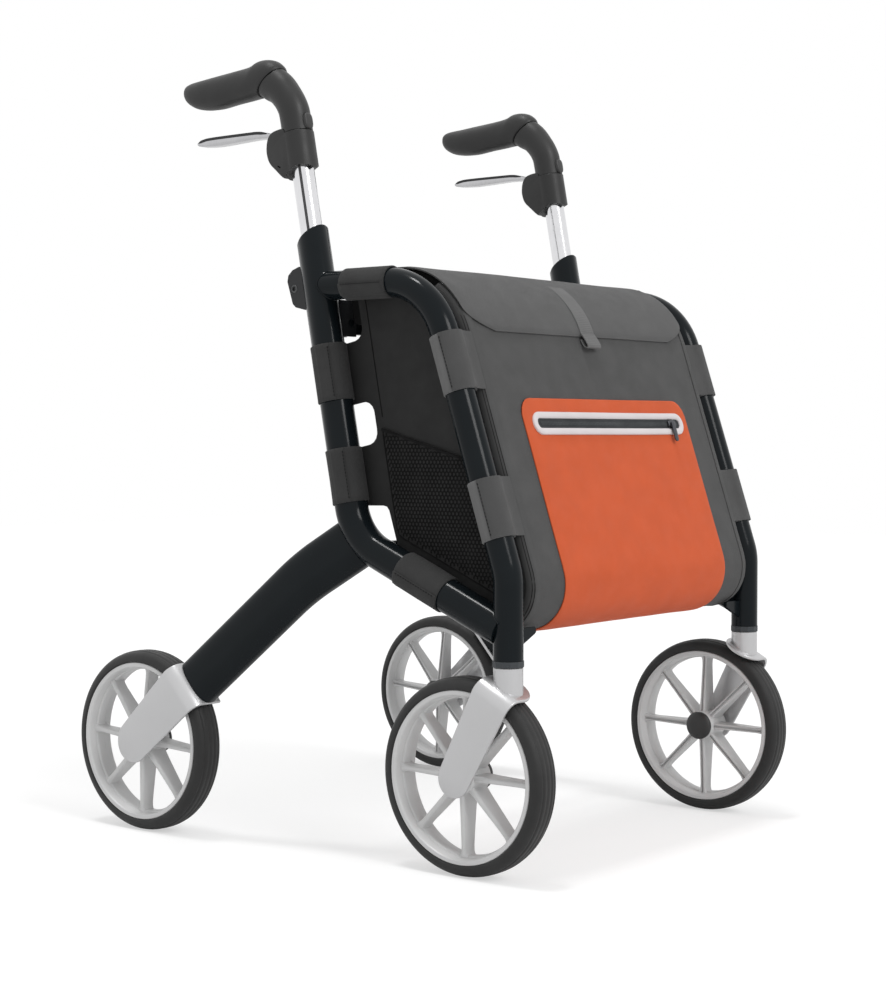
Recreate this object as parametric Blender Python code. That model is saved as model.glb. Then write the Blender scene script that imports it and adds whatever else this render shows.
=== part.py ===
"""Shopping rollator: two side frames that fold together, four wheels, braked handles and a bag.

Metres, +Z up, front at -Y, the user's right hand at -X. Angles of tubes are read in the side plane (Y, Z),
with +Y at 0 degrees and +Z at 90 degrees.
"""

import itertools
import math

import bmesh
import bpy
from mathutils import Quaternion, Vector

X_AXIS = Vector((1, 0, 0))
Y_AXIS = Vector((0, 1, 0))
Z_AXIS = Vector((0, 0, 1))
GAP = 0.0003

# Stance
WHEELBASE = 0.4246
FRAME_X = 0.228
REAR_WHEEL_X = 0.2633

# Wheels
TYRE_RADIUS = 0.100
TREAD_WIDTH = 0.014
TYRE_WIDTH = 0.034
TYRE_BEAD_RADIUS = 0.0872
RIM_WIDTH = 0.033
RIM_LIP = 0.0055
RIM_BAND = 0.0081
RIM_FLAT = 0.008
SPOKES = 8
SPOKE_TURN = {"front": 0.7, "rear": 4.0}
SPOKE_WIDTH = 0.008
SPOKE_DEPTH_HUB = 0.027
SPOKE_DEPTH_RIM = 0.017
HUB_RADIUS = 0.0165
AXLE_RADIUS = 0.0045
AXLE_COVER = 0.0012
SPACER_RADIUS = 0.009
CAP_RADIUS = 0.016
CAP_HEIGHT = 0.007

# Upright and lower tube, one bent tube
UPRIGHT_FOOT = Vector((-0.0645, 0.3314))
UPRIGHT_LEAN = 10.8
UPRIGHT_TOP_Z = 0.6477
UPRIGHT_TOP_SLANT = 38
UPRIGHT_RADIUS = 0.0175
UPRIGHT_BORE = 0.0139
UPRIGHT_BORE_FLOOR_Z = 0.440
UPRIGHT_BEND = 0.065
LOWER_TUBE_FALL = 23.4
LOWER_TUBE_LIP = 0.006

# Top tube and front tube, one bent tube
TOP_CORNER = Vector((-0.1641, UPRIGHT_TOP_Z - 0.0522))
FRONT_FOOT_Z = 0.3018
FRONT_TUBE_RADIUS = 0.015
TOP_BEND = 0.080
FOOT_BEND = 0.060
FRONT_TUBE_BOTTOM_Z = 0.219
STEM_BORE_TOP_Z = 0.276

# Rear leg
LEG_DROP = 0.004
LEG_OVERLAP = 0.0055
LEG_BEND_REACH = 0.2857
LEG_LOWER_FALL = 41.3
LEG_BEND = 0.300
LEG_WIDTH = 0.028
LEG_HEIGHT = 0.057
LEG_END_HEIGHT = 0.055

# Forks
FORK_THICKNESS = 0.0035
TYRE_CLEARANCE = 0.002
FORK_BEND = 0.013
REAR_BLADE_OUTER_X = 0.289
REAR_BLADE_FOOT = 0.0465
REAR_BLADE_TOP = 0.0555
FRONT_BLADE_OUTER_X = 0.253
FRONT_BLADE_FOOT = 0.0385
FRONT_BLADE_TOP = 0.0455
FRONT_FORK_LEAN = 28.6
CASTER_TRAIL = 0.0495
STEM_RADIUS = 0.008
STEM_TOP_Z = 0.270
SLEEVE_RADIUS = 0.0148
SLEEVE_TOP_Z = 0.2125
SEAL_RADIUS = 0.0158

# Brake shoe
SHOE_WIDTH = 0.014
SHOE_LENGTH = 0.022
SHOE_HEIGHT = 0.026
SHOE_PROUD = 0.0003

# Handle
TELESCOPE_RADIUS = 0.012
TELESCOPE_FOOT_Z = UPRIGHT_TOP_Z - 0.1477
GROOVE_WIDTH = 0.003
GROOVE_DEPTH = 0.0016
GROOVE_TURN = 25
BUSH_FOOT_Z = UPRIGHT_TOP_Z - 0.0627
BUSH_TOP_Z = UPRIGHT_TOP_Z - 0.0177
HOUSING_FOOT_Z = UPRIGHT_TOP_Z + 0.0691
NECK_FOOT_Z = HOUSING_FOOT_Z + 0.0415
TELESCOPE_TOP_Z = NECK_FOOT_Z + 0.0257
HOUSING_RADIUS = 0.0168
LEVER_BEHIND = 0.0236
LEVER_RISE = 0.0237
LEVER_BOSS = 0.0085
LEVER_WIDTH = 0.014
LEVER_HEIGHT = 0.0078
LEVER_LEVEL = 0.0188
LEVER_LENGTH = 0.1235
DISC_BEHIND = 0.0145
DISC_RADIUS = 0.0203
DISC_WIDTH = 0.031
PIVOT_RADIUS = 0.003
NECK_RADIUS = 0.0165
NECK_HUMP_RADIUS = 0.0205
NECK_BEND = 0.038
NECK_CORNER_Z = NECK_FOOT_Z + 0.0620
GRIP_FALL = 3.6
GRIP_START = 0.0365
GRIP_LENGTH = 0.1172
GRIP_RADIUS = 0.0174
BUTTON_Z = NECK_FOOT_Z + 0.0089
BUTTON_RADIUS = 0.005
BUTTON_PROUD = 0.0025
BUTTON_SEAT = 0.0018

# Cross braces
PIVOT_X = 0.195
PIN_RADIUS = 0.004
PIN_HEAD_RADIUS = 0.007
PIN_HEAD_HEIGHT = 0.003
ARM_THICKNESS = 0.010
CHEEK = 0.003
UPPER_ARM_Y = -0.0207
UPPER_ARM_Z = TOP_CORNER.y - 0.0375
UPPER_ARM_HEIGHT = 0.024
LOWER_ARM_Y = -0.030
LOWER_ARM_Z = 0.316
LOWER_ARM_HEIGHT = 0.017
LUG_OUTER_X = 0.2275
BRACKET_FOOT_Z = TOP_CORNER.y - 0.0241
BRACKET_TOP_Z = TOP_CORNER.y + 0.0218
BRACKET_REAR_Y = 0.0306
BRACKET_OUTER_X = 0.230
BRACKET_BOLT_RADIUS = 0.005

# Gussets on the front tubes' feet, under the bag
REST_INNER_X = 0.1845
REST_ROOT_X = 0.217
REST_ROOT_Z = 0.2272
REST_TIP_Z = 0.2425
REST_TOP_Z = 0.249
REST_THICKNESS = 0.004

# Bag
PANEL_X = 0.2055
PANEL_THICKNESS = 0.0023
NET_THICKNESS = 0.0015
SHELL_THICKNESS = 0.003
BAG_PROUD = 0.0135
BAG_BELOW = 0.0195
BAG_BACK = 0.033
BAG_FRONT_ROUND = 0.047
BAG_BACK_ROUND = 0.030
PANEL_TOP_Z = TOP_CORNER.y - 0.0075
FLAP_X = 0.198
FLAP_THICKNESS = 0.0025
FLAP_BACK_Y = -0.046
FLAP_CORNER_WIDTH = 0.046
FLAP_CORNER_RISE = 0.030
STRAP_WIDTH = 0.025
STRAP_THICKNESS = 0.0016
STRAP_BACK_Y = -0.100
STRAP_END = 0.0713
POCKET_X = 0.155
POCKET_TOP = 0.1293
POCKET_THICKNESS = 0.002
POCKET_UNDER = 0.060
ZIP_X = 0.1425
ZIP_TOP = 0.1449
ZIP_HEIGHT = 0.0247
ZIP_SLOT_X = 0.133
ZIP_SLOT_HEIGHT = 0.0104
ZIP_THICKNESS = 0.0015
SLIDER_X = 0.117
SLIDER_LENGTH = 0.014
SLIDER_HEIGHT = 0.008
SLIDER_THICKNESS = 0.0025
PULLER_LENGTH = 0.022
PULLER_WIDTH = 0.006
NET_TOP_FRONT_Z = 0.4056
NET_TOP_BACK_Z = 0.4396
NET_INSET = 0.010

# Loops of the bag: where along its tube the middle lies, and the length
LOOP_WALL = 0.0017
TOP_LOOP_Y, TOP_LOOP_LENGTH = -0.0807, 0.0535
HIGH_LOOP_Z, HIGH_LOOP_LENGTH = 0.5035, 0.060
LOW_LOOP_Z, LOW_LOOP_LENGTH = 0.3965, 0.057
FRONT_LOOP_HIGH_Z, FRONT_LOOP_LOW_Z, FRONT_LOOP_LENGTH = 0.5124, 0.3656, 0.061
BASE_LOOP_Y, BASE_LOOP_LENGTH = -0.1584, 0.0603
TAB_REACH = 0.008
TOP_TAB_REACH = 0.016
BACK_TAB_REACH = 0.036

# Facets
WHEEL_SIDES = 32
TUBE_SIDES = 12
PIN_SIDES = 12


def heading(degrees):
    """Unit direction in the side plane."""
    return Vector((math.cos(math.radians(degrees)), math.sin(math.radians(degrees))))


def crossing(start, along, other_start, other_along):
    """The point where two lines of the side plane cross."""
    between = other_start - start
    spread = along.x * other_along.y - along.y * other_along.x
    return start + along * ((between.x * other_along.y - between.y * other_along.x) / spread)


def side_point(point, x=0.0):
    """A point of the side plane, placed at x."""
    return Vector((x, point.x, point.y))


def rounded(corners, bends, steps=5):
    """The corner points, with an arc of the given radius in place of each inner corner."""
    path = [corners[0]]
    for before, corner, after, bend in zip(corners, corners[1:], corners[2:], bends):
        back, ahead = (before - corner).normalized(), (after - corner).normalized()
        half = back.angle(ahead) / 2
        centre = corner + (back + ahead).normalized() * bend / math.sin(half)
        start = corner + back * bend / math.tan(half) - centre
        end = corner + ahead * bend / math.tan(half) - centre
        turn = start.rotation_difference(end)
        for step in range(steps + 1):
            path.append(centre + Quaternion(turn.axis, turn.angle * step / steps) @ start)
    return path + [corners[-1]]


def offset_line(points, distance):
    """The side-plane line moved to the left of its course by the distance, with mitred corners."""
    moved = []
    for index, point in enumerate(points):
        before = (point - points[index - 1]).normalized() if index else None
        after = (points[index + 1] - point).normalized() if index + 1 < len(points) else None
        before, after = before or after, after or before
        normals = [Vector((-course.y, course.x)) for course in (before, after)]
        mitre = (normals[0] + normals[1]).normalized()
        moved.append(point + mitre * distance / mitre.dot(normals[0]))
    return moved


def skin(rings, closed=False):
    """Points and faces of a surface through the rings, capped at its ends unless it closes on itself."""
    starts = list(itertools.accumulate(len(ring) for ring in rings[:-1]))
    starts.insert(0, 0)
    pairs = list(zip(range(len(rings)), range(1, len(rings))))
    if closed:
        pairs.append((len(rings) - 1, 0))
    faces = []
    for first, second in pairs:
        count = max(len(rings[first]), len(rings[second]))
        for index in range(count):
            near = [starts[first] + (index + step) % count % len(rings[first]) for step in (0, 1)]
            far = [starts[second] + (index + step) % count % len(rings[second]) for step in (1, 0)]
            faces.append(list(dict.fromkeys(near + far)))
    for end in () if closed else (0, len(rings) - 1):
        if len(rings[end]) > 1:
            faces.append([starts[end] + index for index in range(len(rings[end]))])
    return [point for ring in rings for point in ring], faces


def merged(shapes):
    """Several separate shapes as one."""
    points, faces = [], []
    for shape_points, shape_faces in shapes:
        faces += [[len(points) + index for index in face] for face in shape_faces]
        points += shape_points
    return points, faces


def swept(path, halves, sides=TUBE_SIDES, power=2.0, cuts=(None, None)):
    """A tube along the path. Each end may be cut by a plane, given by its normal."""
    rings = []
    for index, (point, (half_side, half_up)) in enumerate(zip(path, halves)):
        along = (path[min(index + 1, len(path) - 1)] - path[max(index - 1, 0)]).normalized()
        side = X_AXIS if abs(along.x) < 0.9 else Y_AXIS
        side = (side - side.dot(along) * along).normalized()
        up = along.cross(side)
        ring = []
        for step in range(sides):
            turn = 2 * math.pi * (step + 0.5) / sides
            across = [math.copysign(abs(v) ** (2 / power), v) for v in (math.cos(turn), math.sin(turn))]
            ring.append(point + side * half_side * across[0] + up * half_up * across[1])
        normal = {0: cuts[0], len(path) - 1: cuts[1]}.get(index)
        if normal:
            ring = [at + along * (point - at).dot(normal) / along.dot(normal) for at in ring]
        rings.append(ring)
    return skin(rings)


def rod(path, radius, **options):
    """A round tube of one radius along the path."""
    return swept(path, [(radius, radius)] * len(path), **options)


def turned(profile, centre, axis, sides=TUBE_SIDES, ring=False, flat=False):
    """A turned shape from (distance along the axis, radius) pairs. A flat one has its facets at the radius."""
    axis = axis.normalized()
    across = X_AXIS if abs(axis.z) > 0.7 else Z_AXIS.cross(axis).normalized()
    up = axis.cross(across)
    grow = 1 / math.cos(math.pi / sides) if flat else 1.0
    rings = []
    for distance, radius in profile:
        turns = [2 * math.pi * (step + 0.5) / sides for step in range(sides if radius else 1)]
        reach = radius * grow
        hub = centre + axis * distance
        rings.append([hub + (across * math.cos(t) + up * math.sin(t)) * reach for t in turns])
    return skin(rings, closed=ring)


def prism(outline, start, end):
    """An outline extruded between two places, each a function from an outline point to space."""
    return skin([[place(point) for point in outline] for place in (start, end)])


def side_prism(outline, x_start, x_end):
    """A side-plane outline extruded along X."""
    return prism(outline, lambda point: side_point(point, x_start), lambda point: side_point(point, x_end))


def box(low, high):
    """A box between two opposite corners."""
    low, high = (Vector(map(pick, low, high)) for pick in (min, max))
    corners = [Vector(corner) for corner in ((0, 0, 0), (1, 0, 0), (1, 1, 0), (0, 1, 0))]
    size = high - low
    floor = [low + Vector((c.x * size.x, c.y * size.y, 0)) for c in corners]
    return skin([floor, [point + Z_AXIS * size.z for point in floor]])


def paint(name, colour, roughness, metallic=0.0):
    """A Principled material of one colour."""
    material = bpy.data.materials.new(name)
    material.use_nodes = True
    shader = material.node_tree.nodes["Principled BSDF"]
    shader.inputs["Base Color"].default_value = (*colour, 1)
    shader.inputs["Roughness"].default_value = roughness
    shader.inputs["Metallic"].default_value = metallic
    material.diffuse_color = (*colour, 1)
    return material


def place_of(item):
    """World place of an object whose parents are only moved."""
    place = Vector((0, 0, 0))
    while item:
        place += item.location
        item = item.parent
    return place


def assembly(name, place, parent=None):
    """An empty on a joint's axis, which its pieces hang on."""
    empty = bpy.data.objects.new(name, None)
    empty.parent = parent
    empty.location = place - place_of(parent)
    bpy.context.collection.objects.link(empty)
    return empty


def solid(name, shape, material, parent, origin=None):
    """An object with the shape, its origin on its parent's unless given."""
    origin = place_of(parent) if origin is None else origin
    mesh = bpy.data.meshes.new(name)
    mesh.from_pydata([point - origin for point in shape[0]], [], shape[1])
    shell = bmesh.new()
    shell.from_mesh(mesh)
    bmesh.ops.recalc_face_normals(shell, faces=shell.faces)
    shell.to_mesh(mesh)
    shell.free()
    mesh.shade_smooth()
    mesh.set_sharp_from_angle(angle=math.radians(40))
    if material:
        mesh.materials.append(material)
    item = bpy.data.objects.new(name, mesh)
    item.parent = parent
    item.location = origin - place_of(parent)
    bpy.context.collection.objects.link(item)
    return item


def combine(item, operation, *shapes):
    """Adds shapes to the item or cuts them from it, each with its own hidden tool."""
    for index, shape in enumerate(shapes):
        tool = solid(f"{item.name}.{operation}{index}".lower(), shape, None, item, place_of(item))
        tool.hide_render = True
        tool.display_type = "WIRE"
        modifier = item.modifiers.new(f"{operation} {index}", "BOOLEAN")
        modifier.operation = operation
        modifier.solver = "EXACT"
        modifier.object = tool


# Lines and corners of the side frame, in the side plane
FRONT_AXLE = Vector((-WHEELBASE / 2, TYRE_RADIUS))
REAR_AXLE = Vector((WHEELBASE / 2, TYRE_RADIUS))
STEM_Y = FRONT_AXLE.x - CASTER_TRAIL
UP = heading(90 - UPRIGHT_LEAN)
BEHIND_UPRIGHT = heading(-UPRIGHT_LEAN)
LOWER_ALONG = heading(180 + LOWER_TUBE_FALL)
FRONT_LEAN = math.degrees(math.atan2(TOP_CORNER.x - STEM_Y, TOP_CORNER.y - FRONT_FOOT_Z))
FRONT_DOWN = heading(270 - FRONT_LEAN)
LEG_ALONG = heading(-LEG_LOWER_FALL)
FORK_UP = heading(90 + FRONT_FORK_LEAN)


def on_upright(z):
    """The point of the upright's axis at height z."""
    return UPRIGHT_FOOT + UP * ((z - UPRIGHT_FOOT.y) / UP.y)


def on_front_tube(z):
    """The point of the front tube's straight axis at height z."""
    return TOP_CORNER + FRONT_DOWN * ((z - TOP_CORNER.y) / FRONT_DOWN.y)


def on_lower_tube(y):
    """The point of the lower tube's axis at depth y."""
    return UPRIGHT_FOOT + LOWER_ALONG * ((y - UPRIGHT_FOOT.x) / LOWER_ALONG.x)


FRONT_FOOT = Vector((STEM_Y, FRONT_FOOT_Z))
TOP_JOINT = on_upright(TOP_CORNER.y)
LEG_END = REAR_AXLE - LEG_ALONG * (TYRE_RADIUS + TYRE_CLEARANCE + FORK_THICKNESS + GAP)
HANDLE_CORNER = on_upright(NECK_CORNER_Z)
LEVER_PIVOT = on_upright(HOUSING_FOOT_Z + LEVER_RISE) + Vector((LEVER_BEHIND, 0))
DISC_CENTRE = LEVER_PIVOT - Vector((LEVER_BEHIND - DISC_BEHIND, 0))
LEVER_LEVEL_Z = LEVER_PIVOT.y + LEVER_LEVEL
LEVER_TIP_Y = LEVER_PIVOT.x + LEVER_LENGTH
GRIP_START_Y = HANDLE_CORNER.x + GRIP_START
ARM_LAYERS = {"right": 0.0, "left": ARM_THICKNESS + GAP}


def upright_path(x):
    """Centre line of the upright and lower tube."""
    end = on_lower_tube(STEM_Y + LOWER_TUBE_LIP)
    corners = [side_point(point, x) for point in (on_upright(UPRIGHT_TOP_Z), UPRIGHT_FOOT, end)]
    return rounded(corners, [UPRIGHT_BEND])


def lower_lug(sign, layer_y):
    """Lug on the rear leg's inner face, with room between its cheeks for an arm."""
    half = ARM_THICKNESS / 2 + GAP + CHEEK
    reach = LOWER_ARM_HEIGHT / 2
    low = (sign * (PIVOT_X - reach + 0.001), layer_y - half, LOWER_ARM_Z - reach)
    high = (sign * LUG_OUTER_X, layer_y + half, LOWER_ARM_Z + reach)
    return box(low, high)


def bag_rest(sign):
    """Gusset on the front tube's foot, which narrows inwards under the bag."""
    outline = [
        (REST_ROOT_X, REST_ROOT_Z),
        (REST_INNER_X, REST_TIP_Z),
        (REST_INNER_X, REST_TOP_Z),
        (REST_ROOT_X, REST_TOP_Z),
    ]
    ends = (-REST_THICKNESS / 2, REST_THICKNESS / 2)
    return prism(outline, *[lambda p, y=STEM_Y + end: Vector((sign * p[0], y, p[1])) for end in ends])


def arm_slot(sign, layer_y, height_z, arm_height):
    """Space for an arm's end and its pin, between two cheeks."""
    half = ARM_THICKNESS / 2 + GAP
    inner = sign * (PIVOT_X - arm_height)
    outer = sign * (PIVOT_X + arm_height / 2 + 2 * GAP)
    slot = box((inner, layer_y - half, height_z - arm_height), (outer, layer_y + half, height_z + arm_height))
    pin = turned(
        [(-half - CHEEK - GAP, PIN_RADIUS + GAP), (half + CHEEK, PIN_RADIUS + GAP)],
        Vector((sign * PIVOT_X, layer_y, height_z)),
        Y_AXIS,
        sides=PIN_SIDES,
    )
    return slot, pin


def side_frame(side, sign, frame, paints):
    """The welded tubes of one side, with the bush in the upright's mouth."""
    x = sign * FRAME_X
    slant = side_point(heading(90 - UPRIGHT_TOP_SLANT))
    upright = solid(
        f"upright_tube_{side}",
        rod(upright_path(x), UPRIGHT_RADIUS, cuts=(slant, None)),
        paints["frame"],
        frame,
    )
    mouth = [side_point(on_upright(z), x) for z in (UPRIGHT_BORE_FLOOR_Z, UPRIGHT_TOP_Z + UPRIGHT_BEND)]
    foot = [side_point(Vector((STEM_Y, z)), x) for z in (FRONT_TUBE_BOTTOM_Z, FRONT_FOOT.y)]
    combine(upright, "DIFFERENCE", rod(mouth, UPRIGHT_BORE), rod(foot, FRONT_TUBE_RADIUS + GAP))
    corners = [TOP_JOINT, TOP_CORNER, FRONT_FOOT, Vector((STEM_Y, FRONT_TUBE_BOTTOM_Z))]
    path = rounded([side_point(point, x) for point in corners], [TOP_BEND, FOOT_BEND], steps=6)
    front = solid(f"front_tube_{side}", rod(path, FRONT_TUBE_RADIUS), paints["frame"], frame)
    post = [side_point(on_upright(z), x) for z in (UPRIGHT_BORE_FLOOR_Z, UPRIGHT_TOP_Z)]
    bore = [Vector((x, STEM_Y, z)) for z in (FRONT_TUBE_BOTTOM_Z - FORK_BEND, STEM_BORE_TOP_Z)]
    combine(front, "UNION", bag_rest(sign))
    combine(front, "DIFFERENCE", rod(post, UPRIGHT_RADIUS + GAP), rod(bore, STEM_RADIUS + 2 * GAP))
    axis = side_point(UP)
    solid(
        f"guide_bush_{side}",
        turned(
            [
                (0, TELESCOPE_RADIUS + GAP),
                (0, UPRIGHT_BORE - GAP),
                ((BUSH_TOP_Z - BUSH_FOOT_Z) / UP.y, UPRIGHT_BORE - GAP),
                ((BUSH_TOP_Z - BUSH_FOOT_Z) / UP.y, TELESCOPE_RADIUS + GAP),
            ],
            side_point(on_upright(BUSH_FOOT_Z), x),
            axis,
            ring=True,
        ),
        paints["plastic"],
        frame,
    )
    solid(
        f"stem_seal_{side}",
        turned(
            [
                (SLEEVE_TOP_Z + GAP, STEM_RADIUS + GAP),
                (SLEEVE_TOP_Z + GAP, SEAL_RADIUS),
                (FRONT_TUBE_BOTTOM_Z - GAP, SEAL_RADIUS),
                (FRONT_TUBE_BOTTOM_Z - GAP, STEM_RADIUS + GAP),
            ],
            Vector((x, STEM_Y, 0)),
            Z_AXIS,
            ring=True,
        ),
        paints["plastic"],
        frame,
    )


def leg_path(sign):
    """Centre line of the rear leg, which spreads outwards to the rear wheel's track."""
    joint = UPRIGHT_FOOT - Vector((0, LEG_DROP))
    bend = REAR_AXLE - LEG_ALONG * LEG_BEND_REACH
    start = joint - (bend - joint).normalized() * LEG_OVERLAP
    spread = (REAR_WHEEL_X - FRAME_X) / (LEG_END.x - start.x)
    corners = [side_point(p, sign * (FRAME_X + (p.x - start.x) * spread)) for p in (start, bend, LEG_END)]
    return rounded(corners, [LEG_BEND], steps=3)


def shoe_block(sign, foot, top, grow=0.0):
    """Block on the leg's axis between two distances from the rear axle."""
    across = side_point(heading(90 - LEG_LOWER_FALL))
    along = side_point(-LEG_ALONG)
    centre = side_point(REAR_AXLE, sign * REAR_WHEEL_X)
    sides, lengths = (SHOE_WIDTH / 2 + grow) * X_AXIS, (SHOE_LENGTH / 2 + grow) * across
    corners = [sides + lengths, sides - lengths, -sides - lengths, lengths - sides]
    return skin([[centre + along * reach + corner for corner in corners] for reach in (foot, top)])


def rear_leg(side, sign, frame, paints):
    """The flat-oval leg and the brake shoe in its end."""
    path = leg_path(sign)
    shares = [index / (len(path) - 1) for index in range(len(path))]
    halves = [(LEG_WIDTH / 2, (LEG_HEIGHT + (LEG_END_HEIGHT - LEG_HEIGHT) * share) / 2) for share in shares]
    leg = solid(
        f"rear_leg_{side}",
        swept(path, halves, sides=20, power=2.6, cuts=(None, side_point(LEG_ALONG))),
        paints["frame"],
        frame,
    )
    foot = TYRE_RADIUS + TYRE_CLEARANCE
    shoe_foot = foot + SHOE_PROUD
    lug_y = LOWER_ARM_Y + ARM_LAYERS[side]
    combine(leg, "UNION", lower_lug(sign, lug_y))
    combine(
        leg,
        "DIFFERENCE",
        rod(upright_path(sign * FRAME_X), UPRIGHT_RADIUS + GAP),
        shoe_block(sign, foot, shoe_foot + SHOE_HEIGHT + GAP, GAP),
        *arm_slot(sign, lug_y, LOWER_ARM_Z, LOWER_ARM_HEIGHT),
    )
    rest = assembly(
        f"brake_shoe_{side}_slide",
        side_point(REAR_AXLE - LEG_ALONG * shoe_foot, sign * REAR_WHEEL_X),
        frame,
    )
    solid(f"brake_shoe_{side}", shoe_block(sign, shoe_foot, shoe_foot + SHOE_HEIGHT), paints["rubber"], rest)


def bent_fork(axle, up, blade_x, foot_width, top_width, end_x, round_end):
    """A strip that stands beside the tyre and bends over it: (x, height) stations with their half widths."""
    reach = TYRE_RADIUS + TYRE_CLEARANCE + FORK_THICKNESS / 2
    foot, top = foot_width / 2, top_width / 2
    out = math.copysign(1, blade_x)
    stations = []
    for step in range(5):
        turn = math.radians(-75 + 75 * step / 4)
        stations.append((Vector((blade_x, foot * math.sin(turn))), Vector((out, 0)), foot * math.cos(turn)))
    bend_centre = Vector((blade_x - out * FORK_BEND, reach - FORK_BEND))
    for step in range(5):
        turn = math.pi / 2 * step / 4
        normal = Vector((out * math.cos(turn), math.sin(turn)))
        stations.append((bend_centre + normal * FORK_BEND, normal, top))
    if round_end:
        for step in range(5):
            turn = math.radians(75 * step / 4)
            place = Vector((end_x - out * top * math.sin(turn), reach))
            stations.append((place, Vector((0, 1)), top * math.cos(turn)))
    else:
        stations.append((Vector((end_x, reach)), Vector((0, 1)), top))
    across = Vector((0, -up.y, up.x))
    rings = []
    for place, normal, half in stations:
        ring = []
        for depth, width in ((-1, -1), (1, -1), (1, 1), (-1, 1)):
            flat = place + normal * depth * FORK_THICKNESS / 2
            ring.append(side_point(axle + up * flat.y, flat.x) + across * half * width)
        rings.append(ring)
    return skin(rings)


def axle_hole(axle, outer_x):
    """Blind hole for the axle in a fork's blade, from its inner face."""
    out = math.copysign(1, outer_x)
    start, end = outer_x - out * 4 * FORK_THICKNESS, outer_x - out * AXLE_COVER
    bore = AXLE_RADIUS + GAP
    return turned([(0, bore), (abs(end - start), bore)], side_point(axle, start), out * X_AXIS)


def axle_pin(name, sign, axle, wheel_x, blade_outer_x, parent, paints):
    """Axle with its spacer and inner cap, turned in one piece. Its end is blind in the fork's blade."""
    outer = blade_outer_x - wheel_x
    inner = outer - FORK_THICKNESS
    hub = RIM_WIDTH / 2
    profile = [
        (outer - AXLE_COVER - GAP, 0),
        (outer - AXLE_COVER - GAP, AXLE_RADIUS),
        (inner - GAP, AXLE_RADIUS),
        (inner - GAP, SPACER_RADIUS),
        (hub + GAP, SPACER_RADIUS),
        (hub + GAP, AXLE_RADIUS),
        (-hub - GAP, AXLE_RADIUS),
        (-hub - GAP, CAP_RADIUS),
        (-hub - CAP_HEIGHT / 2, CAP_RADIUS),
        (-hub - CAP_HEIGHT * 0.85, CAP_RADIUS * 0.7),
        (-hub - CAP_HEIGHT, 0),
    ]
    place = side_point(axle, sign * wheel_x)
    solid(name, turned(profile, place, sign * X_AXIS, sides=PIN_SIDES), paints["cap"], parent, place)


def wheel(end, side, sign, axle, wheel_x, parent, paints):
    """Rim and tyre, on their own empty at the axle."""
    centre = side_point(axle, sign * wheel_x)
    spin = assembly(f"{end}_wheel_{side}", centre, parent)
    half, tread, height = TYRE_WIDTH / 2, TREAD_WIDTH / 2, TYRE_RADIUS - TYRE_BEAD_RADIUS
    outer_half = [
        (tread, TYRE_RADIUS),
        ((tread + half) / 2, TYRE_RADIUS - height / 4),
        (0.94 * half, TYRE_RADIUS - height * 0.6),
        (half, TYRE_BEAD_RADIUS),
    ]
    tyre = [(-reach, radius) for reach, radius in reversed(outer_half)] + outer_half
    solid(
        f"{end}_tyre_{side}",
        turned(tyre, centre, sign * X_AXIS, sides=WHEEL_SIDES, ring=True, flat=True),
        paints["tyre"],
        spin,
    )
    seat, width = TYRE_BEAD_RADIUS - GAP, RIM_WIDTH / 2
    rim_half = [(RIM_FLAT / 2, seat - RIM_BAND), (width, seat - RIM_LIP), (width, seat)]
    ring = [(-reach, radius) for reach, radius in reversed(rim_half)] + rim_half
    rim = solid(
        f"{end}_rim_{side}",
        turned(ring, centre, sign * X_AXIS, sides=WHEEL_SIDES, ring=True, flat=True),
        paints["rim"],
        spin,
    )
    spokes = []
    for index in range(SPOKES):
        out = side_point(heading(360 * index / SPOKES + SPOKE_TURN[end]))
        across = X_AXIS.cross(out) * SPOKE_WIDTH / 2
        rings = []
        for reach, depth in ((HUB_RADIUS * 0.8, SPOKE_DEPTH_HUB), (seat - RIM_BAND / 2, SPOKE_DEPTH_RIM)):
            deep = X_AXIS * depth / 2
            middle = centre + out * reach
            rings.append([middle + across + deep, middle - across + deep])
            rings[-1] += [middle - across - deep, middle + across - deep]
        spokes.append(skin(rings))
    hub = [(-width, AXLE_RADIUS + GAP), (-width, HUB_RADIUS), (width, HUB_RADIUS), (width, AXLE_RADIUS + GAP)]
    combine(rim, "UNION", merged(spokes), turned(hub, centre, X_AXIS, ring=True))


def rear_corner(side, sign, frame, paints):
    """Rear fork, axle and wheel."""
    blade_x = sign * (REAR_BLADE_OUTER_X - FORK_THICKNESS / 2)
    plate_end_x = sign * (REAR_WHEEL_X - LEG_WIDTH / 2 - 0.0015)
    up = -LEG_ALONG
    strip = bent_fork(REAR_AXLE, up, blade_x, REAR_BLADE_FOOT, REAR_BLADE_TOP, plate_end_x, False)
    fork = solid(f"rear_fork_{side}", strip, paints["bright"], frame)
    foot = TYRE_RADIUS
    window = shoe_block(sign, foot, foot + SHOE_HEIGHT, GAP)
    combine(fork, "DIFFERENCE", axle_hole(REAR_AXLE, sign * REAR_BLADE_OUTER_X), window)
    axle_pin(f"rear_axle_{side}", sign, REAR_AXLE, REAR_WHEEL_X, REAR_BLADE_OUTER_X, frame, paints)
    wheel("rear", side, sign, REAR_AXLE, REAR_WHEEL_X, frame, paints)


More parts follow.
